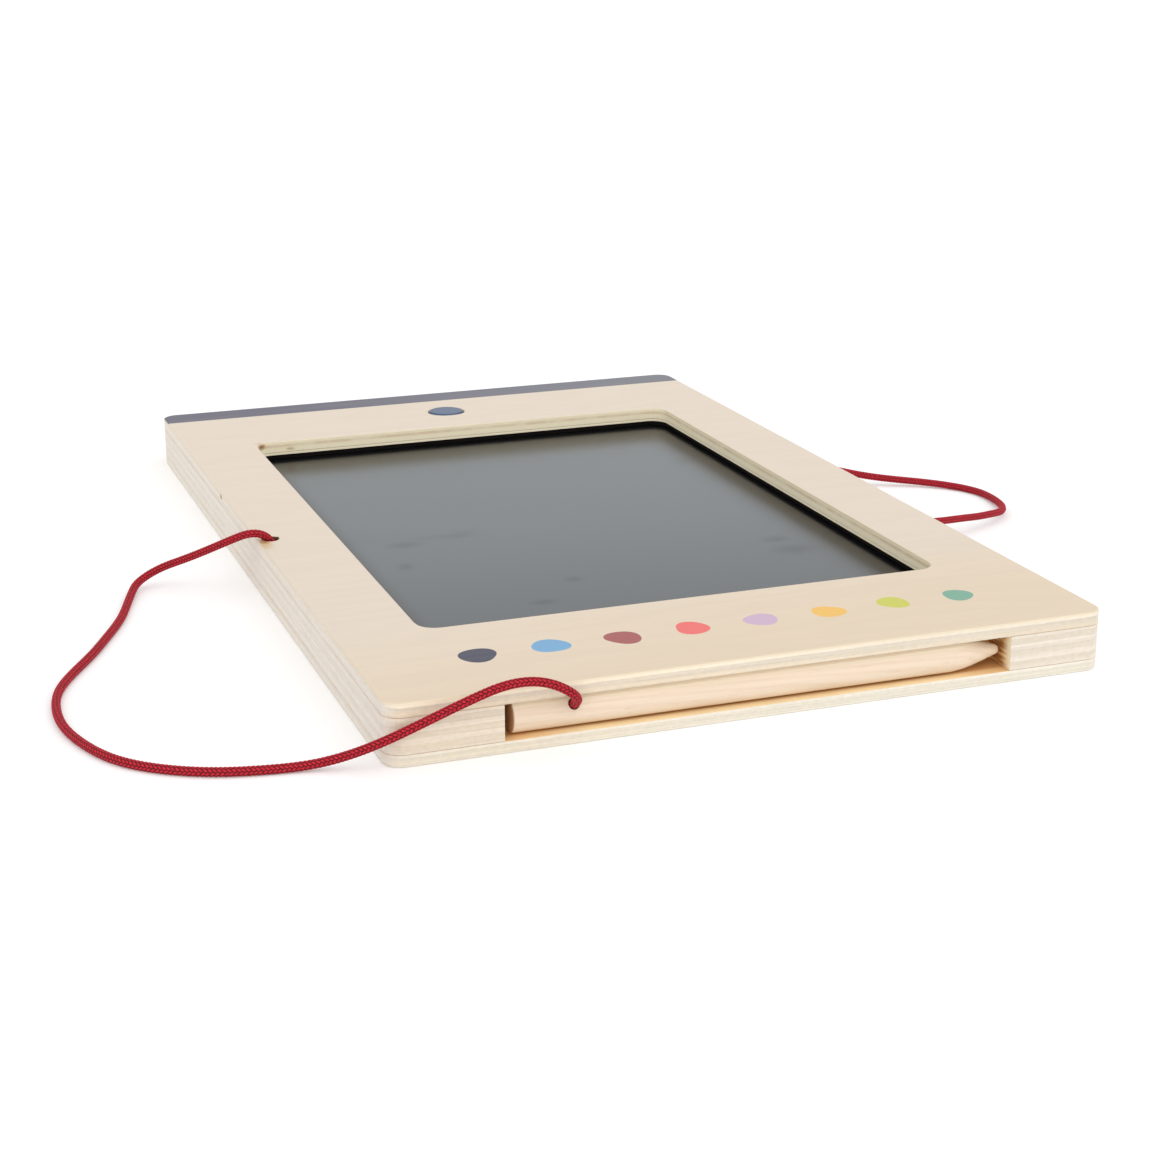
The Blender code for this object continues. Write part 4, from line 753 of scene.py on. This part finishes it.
# %% The scorched slot, with painted light at its front and painted shade deep inside
FLOOR_TAN_PAINTED_LIGHT = (0.97, 0.77, 0.46)
FLOOR_SCORCH_AND_SHADE = (0.94, 0.55, 0.20)
FLOOR_END_SCORCH_AND_SHADE = (0.92, 0.50, 0.16)
FLOOR_SHADED = (0.78, 0.42, 0.16)
WALL_TAN = (0.90, 0.62, 0.27)
WALL_SOOT_AND_SHADE = (0.46, 0.19, 0.05)
SLOT_BACK_EDGE = 0.4 * MM
SLOT_BEHIND_STYLUS = 1.5 * MM
FLOOR_DEEP_FROM = 1.5 * MM
SHADED_FLOOR = (1.8 * MM, 3.2 * MM)
END_SCORCH_X = (42.0 * MM, 58.0 * MM)
SLOT_WALLS_X = (64.0 * MM, 62.0 * MM)
WALL_STARTS = (0.04 * MM, 0.20 * MM)
WALL_DARKENS = (0.3 * MM, 4.0 * MM)
stylus_low, stylus_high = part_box("stylus")
slot_back = stylus_high.y + SLOT_BEHIND_STYLUS


def scorched_and_shaded_slot(place, x, y, floors, walls, colour):
    """Floor and walls of the slot: scorch, painted light at the front and painted shade deeper in. Also the
    mask of bare wood.
    """
    off_centre = x.math("ABSOLUTE")
    in_slot = between(y, slot_back + SLOT_BACK_EDGE, slot_back)
    # Painted light and shade on the floor: pale tan at the front as painted light, then orange deeper in
    # and near the ends, part scorch and part painted shade, and darker under the stylus as painted shade.
    deep = between(y, stylus_low.y + FLOOR_DEEP_FROM, slot_back)
    floor_colour = blend_colour(deep, FLOOR_TAN_PAINTED_LIGHT, FLOOR_SCORCH_AND_SHADE)
    near_ends = between(off_centre, *END_SCORCH_X) * 0.55
    floor_colour = blend_colour(near_ends, floor_colour, FLOOR_END_SCORCH_AND_SHADE)
    shaded = between(y - stylus_low.y, *SHADED_FLOOR)
    floor_colour = blend_colour(shaded, floor_colour, FLOOR_SHADED)
    soot = noise(place, 260.0, 3.0, (0.5, 1.0, 1.0))
    floor = floors * in_slot
    colour = blend_colour(floor, colour, tint(floor_colour, span(soot, 0.92, 1.06)))

    # The walls go from cream at the front to brown lines towards the back: part soot, part painted shade.
    from_front = y - body_low.y
    wall = walls * between(off_centre, *SLOT_WALLS_X) * in_slot * between(from_front, *WALL_STARTS)
    lines = noise(place, 900.0, 3.0, (1.0, 0.12, 1.0), move=(0.0, 0.0, 0.2))
    wall_colour = blend_colour(between(lines, 0.38, 0.62), WALL_TAN, WALL_SOOT_AND_SHADE)
    wall_colour = blend_colour(between(from_front, *WALL_DARKENS), CUT_CREAM_PAINTED_LIGHT, wall_colour)
    return blend_colour(wall, colour, wall_colour), floor + wall


print("slot is %.1f mm deep" % ((slot_back - body_low.y) / MM))

# %% The finish of the top board
INK_LEFT = (0.026, 0.026, 0.072)
INK_RIGHT = (0.086, 0.090, 0.130)
INK_LIGHTENS = (-75.0 * MM, 75.0 * MM)
BAND_WIDTH = 10.75 * MM
UPPER_SHEET = (1.10, 1.09, 1.05)
LOWER_SHEET = (0.97, 0.93, 0.86)
UPPER_SHEET_HEIGHT = (2.0 * MM, 2.2 * MM)
LOWER_SHEET_HEIGHT = (1.25 * MM, 1.0 * MM)
TOP_FACE_DEPTH = (0.4 * MM, 0.1 * MM)
RIM_DEPTH = (0.55 * MM, 0.40 * MM)
RIM_HONEY = (0.76, 0.64, 0.43)
BURN_HALO = (0.66, 0.50, 0.29)
BURNT_BROWN_AND_SHADE = (0.36, 0.16, 0.05)
TOP_RELIEF = 0.02 * MM
INK_RELIEF_SHARE = 0.2
CORD_HOLE = Vector((-80.0 * MM, -9.3 * MM, body_high.z))
HOLE_REACH = (3.2 * MM, 3.2 * MM, 9.0 * MM)
BURNS = (
    (Vector((-2.3 * MM, -3.9 * MM, 0.0)), (2.8 * MM, 6.8 * MM, 4.0 * MM), BURN_HALO),
    (Vector((-2.0 * MM, -2.3 * MM, 0.0)), (2.0 * MM, 2.4 * MM, 4.0 * MM), KNOT_ORANGE),
)


def with_ink(place, x, y, upper, colour):
    """The colour with the band and the patches printed on it, and the mask of all the ink."""
    grain = noise(place, 900.0, 4.0, ALONG_X)
    band_front = body_high.y - BAND_WIDTH
    band = between(y, band_front - INK_EDGE, band_front + INK_EDGE) * upper
    band_colour = blend_colour(between(x, *INK_LIGHTENS), INK_LEFT, INK_RIGHT)
    band_colour = tint(band_colour, span(grain, 0.85, 1.15))
    colour = blend_colour(band * span(grain, 0.93, 1.0), colour, band_colour)
    mask, patch_colour = patches(x, y)
    mask = mask * upper
    patch_colour = tint(patch_colour, span(grain, 0.94, 1.06))
    return blend_colour(mask * span(grain, 0.97, 1.0), colour, patch_colour), band + mask, grain


def top_plate_finish():
    """Plywood with sheets of two tones, a honey-coloured rim, ink, knots, and a scorched cord hole whose
    wall is painted dark as shade.
    """
    material, start = start_finish("birch_ply_printed", IOR=1.5)
    (colour, roughness, height), (flat, ends), (place, x, y, z) = plywood(start, body_low.z, TOP_PLIES)
    up = z - body_low.z
    down = body_high.z - z
    colour = blend_colour(ends * between(up, *LOWER_SHEET_HEIGHT), colour, LOWER_SHEET, "MULTIPLY")
    colour = blend_colour(ends * between(up, *UPPER_SHEET_HEIGHT), colour, UPPER_SHEET, "MULTIPLY")
    upper = flat * between(down, *TOP_FACE_DEPTH)
    rim = between(down, *RIM_DEPTH) * (1 - upper)
    colour = blend_colour(rim * 0.6, colour, RIM_HONEY)
    colour, ink, grain = with_ink(place, x, y, upper, colour)
    colour = with_knots(place, colour)
    for offset, reach, burn_colour in BURNS:
        burn = spot(place, CORD_HOLE + offset, reach, 0.8) * upper
        colour = blend_colour(burn * 0.85, colour, burn_colour)
    # The cord hole's wall: scorch, and painted shade that makes it nearly black.
    hole_wall = spot(place, CORD_HOLE, HOLE_REACH, 0.2, 0.3) * (1 - flat)
    colour = blend_colour(hole_wall, colour, tint(BURNT_BROWN_AND_SHADE, span(grain, 0.15, 0.45)))
    height = height + ink * INK_RELIEF_SHARE
    return end_finish(material, colour, roughness - ink * 0.06, bump(height, TOP_RELIEF))


finishes = {"top_plate": top_plate_finish()}
print("top board finished")

# %% The finishes of the two lower boards
FRONT_CORE = (1.00, 1.00, 1.00)
FRONT_BASE = (1.04, 1.09, 1.12)
ABOVE_UNDERSIDE = (0.5 * MM, 1.0 * MM)
BOARD_RELIEF = 0.03 * MM


def board_finish(name, node, plies, front):
    """Plywood whose front and back edges are multiplied by a colour, with its part of the slot."""
    material, start = start_finish(name, IOR=1.5)
    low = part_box(node)[0].z
    (colour, roughness, height), (flat, ends), (place, x, y, z) = plywood(start, low, plies)
    colour = blend_colour(ends, colour, front, "MULTIPLY")
    inside = between(z - low, *ABOVE_UNDERSIDE)
    colour, bare = scorched_and_shaded_slot(place, x, y, flat * inside, 1 - flat, colour)
    colour = with_knots(place, colour)
    return end_finish(material, colour, roughness + bare * 0.3, bump(height, BOARD_RELIEF))


finishes["middle_frame"] = board_finish("birch_ply_core", "middle_frame", MIDDLE_PLIES, FRONT_CORE)
finishes["bottom_plate"] = board_finish("birch_ply_base", "bottom_plate", BOTTOM_PLIES, FRONT_BASE)
print("boards finished:", sorted(finishes))

# %% [markdown]
# ## The dark panel and its gasket
#
# The liquid-crystal film looks nearly black from above, with a little bluish haze where it is drawn on,
# and deep black along its border. At the back and on the right that border is wide, as the painted dark
# reflection of the walls. From a low angle its glossy cover mirrors the pale room, which turns it grey, and
# the mirror is a little blurred by the plastic. Fingers and the wiped-off drawings leave faint dull smears,
# which mirror less. The gasket is matt black foam.

# %% Finish of the panel
PANEL_HAZE = (0.050, 0.070, 0.082)
PANEL_BORDER_AND_SHADE = (0.004, 0.004, 0.005)
DUST_GREY = (0.4, 0.4, 0.4)
BORDER_BACK = (58.0 * MM, 80.0 * MM)
BORDER_RIGHT = (49.0 * MM, 60.0 * MM)
BORDER_FRONT = (-72.0 * MM, -84.0 * MM)
BORDER_LEFT = (-56.0 * MM, -62.0 * MM)
DARKER_IN_FRONT = (0.0, -88.0 * MM)
SMEAR_DEPTH = 3.0 * MM
PANEL_RELIEF = 0.02 * MM
SMEARS = (
    ((-45.4 * MM, -9.4 * MM), (8.0 * MM, 4.0 * MM)), ((-50.2 * MM, -27.4 * MM), (3.5 * MM, 4.0 * MM)),
    ((-14.7 * MM, -51.0 * MM), (4.0 * MM, 3.0 * MM)), ((-27.2 * MM, -65.0 * MM), (5.5 * MM, 3.0 * MM)),
    ((45.2 * MM, -38.1 * MM), (5.5 * MM, 4.0 * MM)), ((46.0 * MM, -47.6 * MM), (9.0 * MM, 6.0 * MM)),
)


def smeared(place):
    """A mask of the smears: long faint strokes in a few places, and the six spots that stand out."""
    strokes = noise(place, 55.0, 3.0, (0.35, 1.0, 1.0), move=(0.2, 0.4, 0.0), rough=0.6)
    where = between(noise(place, 16.0, 1.0, move=(1.3, 0.2, 0.0)), 0.45, 0.62)
    smears = between(strokes, 0.56, 0.72) * where
    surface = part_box("writing_panel")[1].z
    for centre, reach in SMEARS:
        around = spot(place, (*centre, surface), (*reach, SMEAR_DEPTH), 0.8, soft=1.0)
        smears = smears.math("MAXIMUM", around * 0.75)
    return smears


def panel_finish():
    """Dark film under a glossy cover, with smears, a little dust, and a black border that is painted wider
    at the back and right as a dark reflection.
    """
    material, start = start_finish("liquid_crystal_film", IOR=1.42, Coat_Roughness=0.16)
    place, x, y, _ = place_on(start)
    smears = smeared(place)
    haze = noise(place, 9.0, 2.0, move=(0.6, 0.0, 0.0))
    dust = between(noise(place, 2600.0, 1.0), 0.74, 0.80)
    # Painted reflection: the wide dark zones at the back and on the right stand for the walls mirrored dark
    # in the cover; the narrower ones at the front and left are the film's own black border.
    back_and_right_shade = between(y, *BORDER_BACK).math("MAXIMUM", between(x, *BORDER_RIGHT))
    front_or_left = between(y, *BORDER_FRONT).math("MAXIMUM", between(x, *BORDER_LEFT))
    border_and_shade = back_and_right_shade.math("MAXIMUM", front_or_left)
    clearness = 1.05 - 0.10 * haze - 0.35 * smears - 0.35 * between(y, *DARKER_IN_FRONT)
    colour = blend_colour(border_and_shade, tint(PANEL_HAZE, clearness), PANEL_BORDER_AND_SHADE)
    colour = blend_colour(dust * 0.04, colour, DUST_GREY)
    roughness = 0.20 + 0.06 * smears + 0.03 * haze
    waves = noise(place, 45.0, 1.0)
    coat = (1 - smears) * (1 - border_and_shade) * 0.10
    return end_finish(material, colour, roughness, bump(waves, PANEL_RELIEF), coat)


finishes["writing_panel"] = panel_finish()
print("panel finished, smears:", len(SMEARS))

# %% Finish of the foam
FOAM_BLACK = (0.006, 0.005, 0.005)
FOAM_GRIME = (0.012, 0.010, 0.009)
FOAM_CELLS = 2400.0
FOAM_RELIEF = 0.08 * MM


def foam_finish():
    """Matt foam, with its cells as small dents."""
    material, start = start_finish("black_foam", Specular_IOR_Level=0.05)
    place = place_on(start)[0]
    cells = start.node("TexVoronoi", sockets={"Vector": place, "Scale": FOAM_CELLS}, out="Distance")
    grime = noise(place, 300.0)
    colour = blend_colour(grime, FOAM_BLACK, FOAM_GRIME)
    return end_finish(material, colour, span(grime, 0.80, 0.95), bump(cells, FOAM_RELIEF))


finishes["panel_bezel"] = finishes["board_pad"] = foam_finish()
print("gasket and pad finished")

# %% [markdown]
# ## Turned wood of the stylus
#
# The stylus is a rod of pale wood, turned and sanded, without lacquer. Its fibres run along it, and the
# yearly rings of the plank show as slow stripes. Fine noise that is stretched along X gives the fibres.
# The rings are slices of a cone, because a plank is never cut quite along its tree. The upper side, under
# the top board, is painted paler as painted light against the shade there, the tip is a little darker, and
# the sawn end is brown, from end grain and painted shade.

# %% Finish of the stylus
STYLUS_PALE = (0.84, 0.690, 0.535)
STYLUS_RING = (0.76, 0.585, 0.420)
STYLUS_PAINTED_LIGHT = (0.97, 0.86, 0.68)
STYLUS_TIP_DARKER = (0.70, 0.50, 0.32)
STYLUS_END_GRAIN_AND_SHADE = (0.40, 0.20, 0.09)
RING_RATE = 5200.0
RING_WANDER = 9.0
PAINTED_LIGHT_DEPTH = (2.2 * MM, 1.0 * MM)
DARKER_TIP_LENGTH = 9.0 * MM
SAWN_END = (0.3 * MM, 0.1 * MM)
STYLUS_RELIEF = 0.03 * MM


def stylus_finish():
    """Turned wood, with painted light on its upper side, a little darker at the tip, and a sawn end that is
    brown from end grain and painted shade.
    """
    material, start = start_finish("turned_pale_wood", IOR=1.45)
    place, x, y, z = place_on(start)
    fibres = noise(place, 1500.0, 4.0, (0.03, 1.0, 1.0))
    wander = noise(place, 30.0, 2.0, (0.3, 1.0, 1.0))
    through_plank = y * 0.8 + z * 0.6 + x * 0.035
    rings = (through_plank * RING_RATE + wander * RING_WANDER).math("SINE") * 0.5 + 0.5
    pores = between(noise(place, 3000.0, 1.0, (0.08, 1.0, 1.0), move=(0.0, 0.0, 0.5)), 0.64, 0.75)
    colour = blend_colour(rings * rings * 0.45, STYLUS_PALE, STYLUS_RING)
    colour = tint(colour, span(fibres, 0.94, 1.04) * span(pores, 1.0, 0.92))
    # Painted light: the upper side under the top board is made paler.
    painted_light = between(stylus_high.z - z, *PAINTED_LIGHT_DEPTH) * 0.9
    colour = blend_colour(painted_light, colour, STYLUS_PAINTED_LIGHT)
    # The last part towards the tip is a little darker.
    darker_tip = between(x, stylus_high.x - DARKER_TIP_LENGTH, stylus_high.x) * 0.12
    colour = blend_colour(darker_tip, colour, STYLUS_TIP_DARKER)
    # The sawn end: brown end grain, and painted shade from the gap at the end of the slot.
    end_grain_and_shade = between(x - stylus_low.x, *SAWN_END) * 0.9
    colour = blend_colour(end_grain_and_shade, colour, STYLUS_END_GRAIN_AND_SHADE)
    height = fibres - 0.6 * pores
    return end_finish(material, colour, span(fibres, 0.50, 0.62), bump(height, STYLUS_RELIEF))


finishes["stylus"] = stylus_finish()
print("stylus finished")

# %% [markdown]
# ## Red cotton braid
#
# The colour follows the height that was kept on the mesh: bright on the crowns, and nearly black-red in the
# grooves as painted shade. Short noise along each strand stands for its yarns, stitches differ a little in
# how light they are, and a little sheen stands for the loose fibres.

# %% Finish of the cords and knots
BRAID_BRIGHT = (0.56, 0.015, 0.031)
BRAID_PAINTED_SHADE = (0.075, 0.001, 0.004)
GROOVE_TO_CROWN = (0.28, 0.90)
YARN_RELIEF = 0.05 * MM


def braid_finish():
    """Red cotton, coloured by the height of the braid at each point, with painted shade in the grooves."""
    material, start = start_finish("red_cotton_braid", Sheen_Weight=0.05, Sheen_Roughness=0.4, IOR=1.33)
    weave = start.node("Attribute", {"attribute_name": "weave"}, out="Fac")
    around = start.node("UVMap", {"uv_map": "round_and_along"})
    yarns = noise(around, 26.0, 3.0, (2.0, 0.8, 1.0), rough=0.65)
    fading = noise(around, 0.35, 2.0)
    stitches = between(noise(around, 9.0, 1.0, move=(0.4, 0.0, 0.0)), 0.38, 0.62)
    # Painted shade: the grooves between the stitches go nearly black-red.
    colour = blend_colour(between(weave, *GROOVE_TO_CROWN), BRAID_PAINTED_SHADE, BRAID_BRIGHT)
    colour = tint(colour, 0.54 + 0.50 * yarns + 0.10 * fading + 0.36 * stitches)
    height = weave * 0.3 + yarns * 0.7
    return end_finish(material, colour, span(yarns, 0.62, 0.87), bump(height, YARN_RELIEF))


red_braid = braid_finish()
for piece in (stylus_cord, carry_loop, *knots.values()):
    piece.data.materials.append(red_braid)
print("cords finished")

# %% [markdown]
# ## Moulded plastics
#
# Moulded plastic copies the finely spark-eroded steel of its mould, so it has a fine, even grain, and
# slight streaks where it flowed. One function makes them all, and each part gives its colour.

# %% Finishes of the plastic parts
ROUGHNESS_RANGE = 0.08
PLASTICS = {
    "erase_button": ("slate_blue_button", (0.045, 0.083, 0.165), 0.38, 0.01 * MM),
    "ribbon_connector": ("white_connector_plastic", (0.72, 0.70, 0.64), 0.42, 0.02 * MM),
    "controller_chip": ("chip_resin", (0.018, 0.018, 0.019), 0.55, 0.02 * MM),
    "battery_wire_positive": ("red_wire_insulation", (0.45, 0.015, 0.015), 0.35, 0.005 * MM),
    "battery_wire_negative": ("black_wire_insulation", (0.015, 0.015, 0.016), 0.35, 0.005 * MM),
}


def moulded(name, colour, roughness, grain):
    """Moulded plastic, whose roughness is the middle of a small range and whose grain is a height."""
    material, start = start_finish(name, IOR=1.5)
    place = place_on(start)[0]
    texture = noise(place, 3600.0, 2.0)
    flow = noise(place, 120.0, 2.0)
    lighter = [value * 1.12 for value in colour]
    tone = tint(blend_colour(flow, colour, lighter), span(texture, 0.93, 1.05))
    rough = span(texture, roughness - ROUGHNESS_RANGE, roughness + ROUGHNESS_RANGE)
    return end_finish(material, tone, rough, bump(texture, grain))


black_plastic = moulded("black_moulded_plastic", (0.022, 0.022, 0.024), 0.48, 0.02 * MM)
for node in ("panel_tray", "battery_box", "battery_cover", "switch_body", "switch_plunger"):
    finishes[node] = black_plastic
for node, look in PLASTICS.items():
    finishes[node] = moulded(*look)
print("plastics finished")

# %% [markdown]
# ## Metal parts
#
# The coin cell, the screws and the switch's cover and dome are nickel-plated steel, and the contacts and
# the threaded insert are brass. Metal has no colour of its own underneath, so its look lies in its
# roughness: fine lines from rolling or turning, and dull spots where it was touched.

# %% Finishes of the metal parts
ROLLED_ALONG_Y = (1.0, 0.05, 1.0)
ROLLED_RELIEF = 0.004 * MM


def drawn_metal(name, colour, roughness):
    """Bright metal with fine lines and a few dull spots."""
    material, start = start_finish(name, Metallic=1.0)
    place = place_on(start)[0]
    brushed = noise(place, 2600.0, 3.0, ROLLED_ALONG_Y)
    dull = noise(place, 180.0, 3.0)
    darker = [value * 0.86 for value in colour]
    tone = tint(blend_colour(dull, colour, darker), span(brushed, 0.92, 1.04))
    rough = span(brushed, roughness - ROUGHNESS_RANGE, roughness + ROUGHNESS_RANGE)
    rough = rough + 0.14 * between(dull, 0.5, 0.75)
    return end_finish(material, tone, rough, bump(brushed, ROLLED_RELIEF))


nickel = drawn_metal("nickel_plated_steel", (0.62, 0.61, 0.58), 0.30)
brass = drawn_metal("spring_brass", (0.72, 0.52, 0.23), 0.32)
for node in ("switch_cover", "board_screw_front", "board_screw_back", "coin_cell", "cover_screw"):
    finishes[node] = nickel
for node in ("positive_contact", "negative_contact", "screw_insert"):
    finishes[node] = brass
snap_dome.data.materials.append(nickel)
print("metals finished")

# %% [markdown]
# ## Circuit board and ribbon
#
# The board is fibreglass under a green varnish. Copper tracks show through it as slightly lighter raised
# lines, which run straight and turn at right angles. The board is cut into small squares, and in each
# one a random choice draws a line along X or along Y. The ribbon is amber film with straight copper lines
# along it.

# %% Finishes of the board and the ribbon
TRACK_PITCH = 1.2 * MM
TRACK_EDGE = (0.14, 0.10)
TRACK_RELIEF = 0.03 * MM
BOARD_GREEN = (0.012, 0.115, 0.035)
TRACK_GREEN = (0.045, 0.26, 0.075)
COPPER_PITCH = 1.0 * MM
COPPER_EDGE = (0.22, 0.18)
COPPER_RELIEF = 0.02 * MM
RIBBON_AMBER = (0.52, 0.24, 0.035)
RIBBON_COPPER = (0.66, 0.34, 0.13)


def off_middle(value, pitch):
    """How far a value is from the middle of its step, 0 to 0.5, where a step is one pitch long."""
    return ((value / pitch).math("FRACT") - 0.5).math("ABSOLUTE")


def board_green():
    """Green varnish with copper tracks under it."""
    material, start = start_finish("green_circuit_board", IOR=1.5)
    place, x, y, _ = place_on(start)
    squares = {0: place, 1: (TRACK_PITCH, TRACK_PITCH, 1.0)}
    grid = start.node("VectorMath", {"operation": "SNAP"}, squares)
    choice = start.node("TexWhiteNoise", {"noise_dimensions": "3D"}, {"Vector": grid})
    along_x = between(off_middle(y, TRACK_PITCH), *TRACK_EDGE) * between(choice, 0.49, 0.50)
    along_y = between(off_middle(x, TRACK_PITCH), *TRACK_EDGE) * between(choice, 0.51, 0.50)
    tracks = along_x.math("MAXIMUM", along_y)
    fibre = noise(place, 1500.0, 1.0)
    colour = tint(blend_colour(tracks * 0.8, BOARD_GREEN, TRACK_GREEN), span(fibre, 0.9, 1.1))
    return end_finish(material, colour, span(fibre, 0.30, 0.40), bump(tracks, TRACK_RELIEF))


def ribbon_amber():
    """Amber film with straight copper lines."""
    material, start = start_finish("amber_ribbon_film", IOR=1.6)
    place, x, _, _ = place_on(start)
    copper = between(off_middle(x, COPPER_PITCH), *COPPER_EDGE)
    film = noise(place, 200.0, 2.0)
    colour = tint(blend_colour(copper, RIBBON_AMBER, RIBBON_COPPER), span(film, 0.9, 1.1))
    return end_finish(material, colour, span(film, 0.25, 0.35), bump(copper, COPPER_RELIEF))


finishes["circuit_board"] = board_green()
finishes["panel_ribbon"] = ribbon_amber()
print("board and ribbon finished")

# %% [markdown]
# ## Putting the finishes on the solids
#
# The shape of each solid is right as it is, so it only gets its material. The list of what has none must
# be empty: a piece that was forgotten would show up as plain grey from behind.

# %% Each solid gets its finish
replaced = {"stylus_cord", "carry_loop", "switch_dome", *knots}
for node, material in finishes.items():
    nodes[node].data.materials.clear()
    nodes[node].data.materials.append(material)
print("without a finish:", sorted(set(nodes) - set(finishes) - replaced))

# %% [markdown]
# ## Floor, room and light
#
# The photograph was taken on white paper in even light. The floor is white and keeps the tablet's shadow.
# The room is evenly pale. Two very wide soft lamps stand at the front: the one on the right makes the
# front edge a little brighter than the left side, and the one on the left keeps that side from going
# grey. The room's light on the tablet is set so that a colour comes out about as it is written, and only
# what the camera, a reflection or something clear sees of the room is pure white.

# %% Floor and room
ROOM_LIGHT = 0.70
PURE_WHITE = (1.0, 1.0, 1.0, 1.0)
PAPER_WHITE = (0.92, 0.92, 0.92, 1.0)
FLOOR_GLOW = 0.14
FLOOR_SIZE = 60.0


def seen_directly(start):
    """1 where a camera, mirror or glass ray looks, and 0 for the light that falls on things."""
    kinds = ("Is Camera Ray", "Is Glossy Ray", "Is Transmission Ray")
    camera_ray, glossy_ray, clear_ray = (start.node("LightPath", out=kind) for kind in kinds)
    return camera_ray.math("MAXIMUM", glossy_ray).math("MAXIMUM", clear_ray)


def end_tree(tree, kind, value):
    """Links a shader value to a new output node of a tree."""
    ending = tree.nodes.new(kind)
    tree.links.new(value.socket, ending.inputs["Surface"])


def paper_floor():
    """A wide white sheet, which glows a little where it is seen directly and still takes a shadow."""
    bpy.ops.object.select_all(action="DESELECT")
    bpy.ops.mesh.primitive_plane_add(size=FLOOR_SIZE)
    floor = bpy.context.object
    floor.name = "paper_floor"
    material = bpy.data.materials.new("white_paper")
    material.use_nodes = True
    material.node_tree.nodes.clear()
    start = Shade(material.node_tree)
    paper = start.node("BsdfDiffuse", sockets={"Color": PAPER_WHITE})
    glow = start.node("Emission", sockets={"Strength": seen_directly(start) * FLOOR_GLOW})
    both = start.node("AddShader", sockets={0: paper, 1: glow})
    end_tree(material.node_tree, "ShaderNodeOutputMaterial", both)
    floor.data.materials.append(material)
    return floor


def pale_room():
    """An even pale world, pure white where it is seen directly."""
    world = bpy.data.worlds.new("pale_room")
    bpy.context.scene.world = world
    world.use_nodes = True
    world.node_tree.nodes.clear()
    start = Shade(world.node_tree)
    lit = start.node("Background", sockets={"Color": PURE_WHITE, "Strength": ROOM_LIGHT})
    seen = start.node("Background", sockets={"Color": PURE_WHITE, "Strength": 1.0})
    both = start.node("MixShader", sockets={0: seen_directly(start), 1: lit, 2: seen})
    end_tree(world.node_tree, "ShaderNodeOutputWorld", both)


paper_floor()
pale_room()
bpy.context.scene.view_settings.view_transform = "Standard"
print("floor and room made")

# %% Lamps
LAMPS = {
    "wide_lamp_right": (1.05, math.radians(100), (math.radians(48), 0.0, math.radians(35))),
    "wide_lamp_left": (0.70, math.radians(80), (math.radians(60), 0.0, math.radians(-54))),
}


def wide_lamp(name, power, spread, turn):
    """A sun lamp that is spread over a wide angle, so that its shadows are soft."""
    lamp = bpy.data.lights.new(name, "SUN")
    lamp.energy = power
    lamp.angle = spread
    holder = bpy.data.objects.new(name, lamp)
    holder.rotation_euler = turn
    bpy.context.scene.collection.objects.link(holder)


for name, (power, spread, turn) in LAMPS.items():
    wide_lamp(name, power, spread, turn)
print("lamps placed:", sorted(LAMPS))
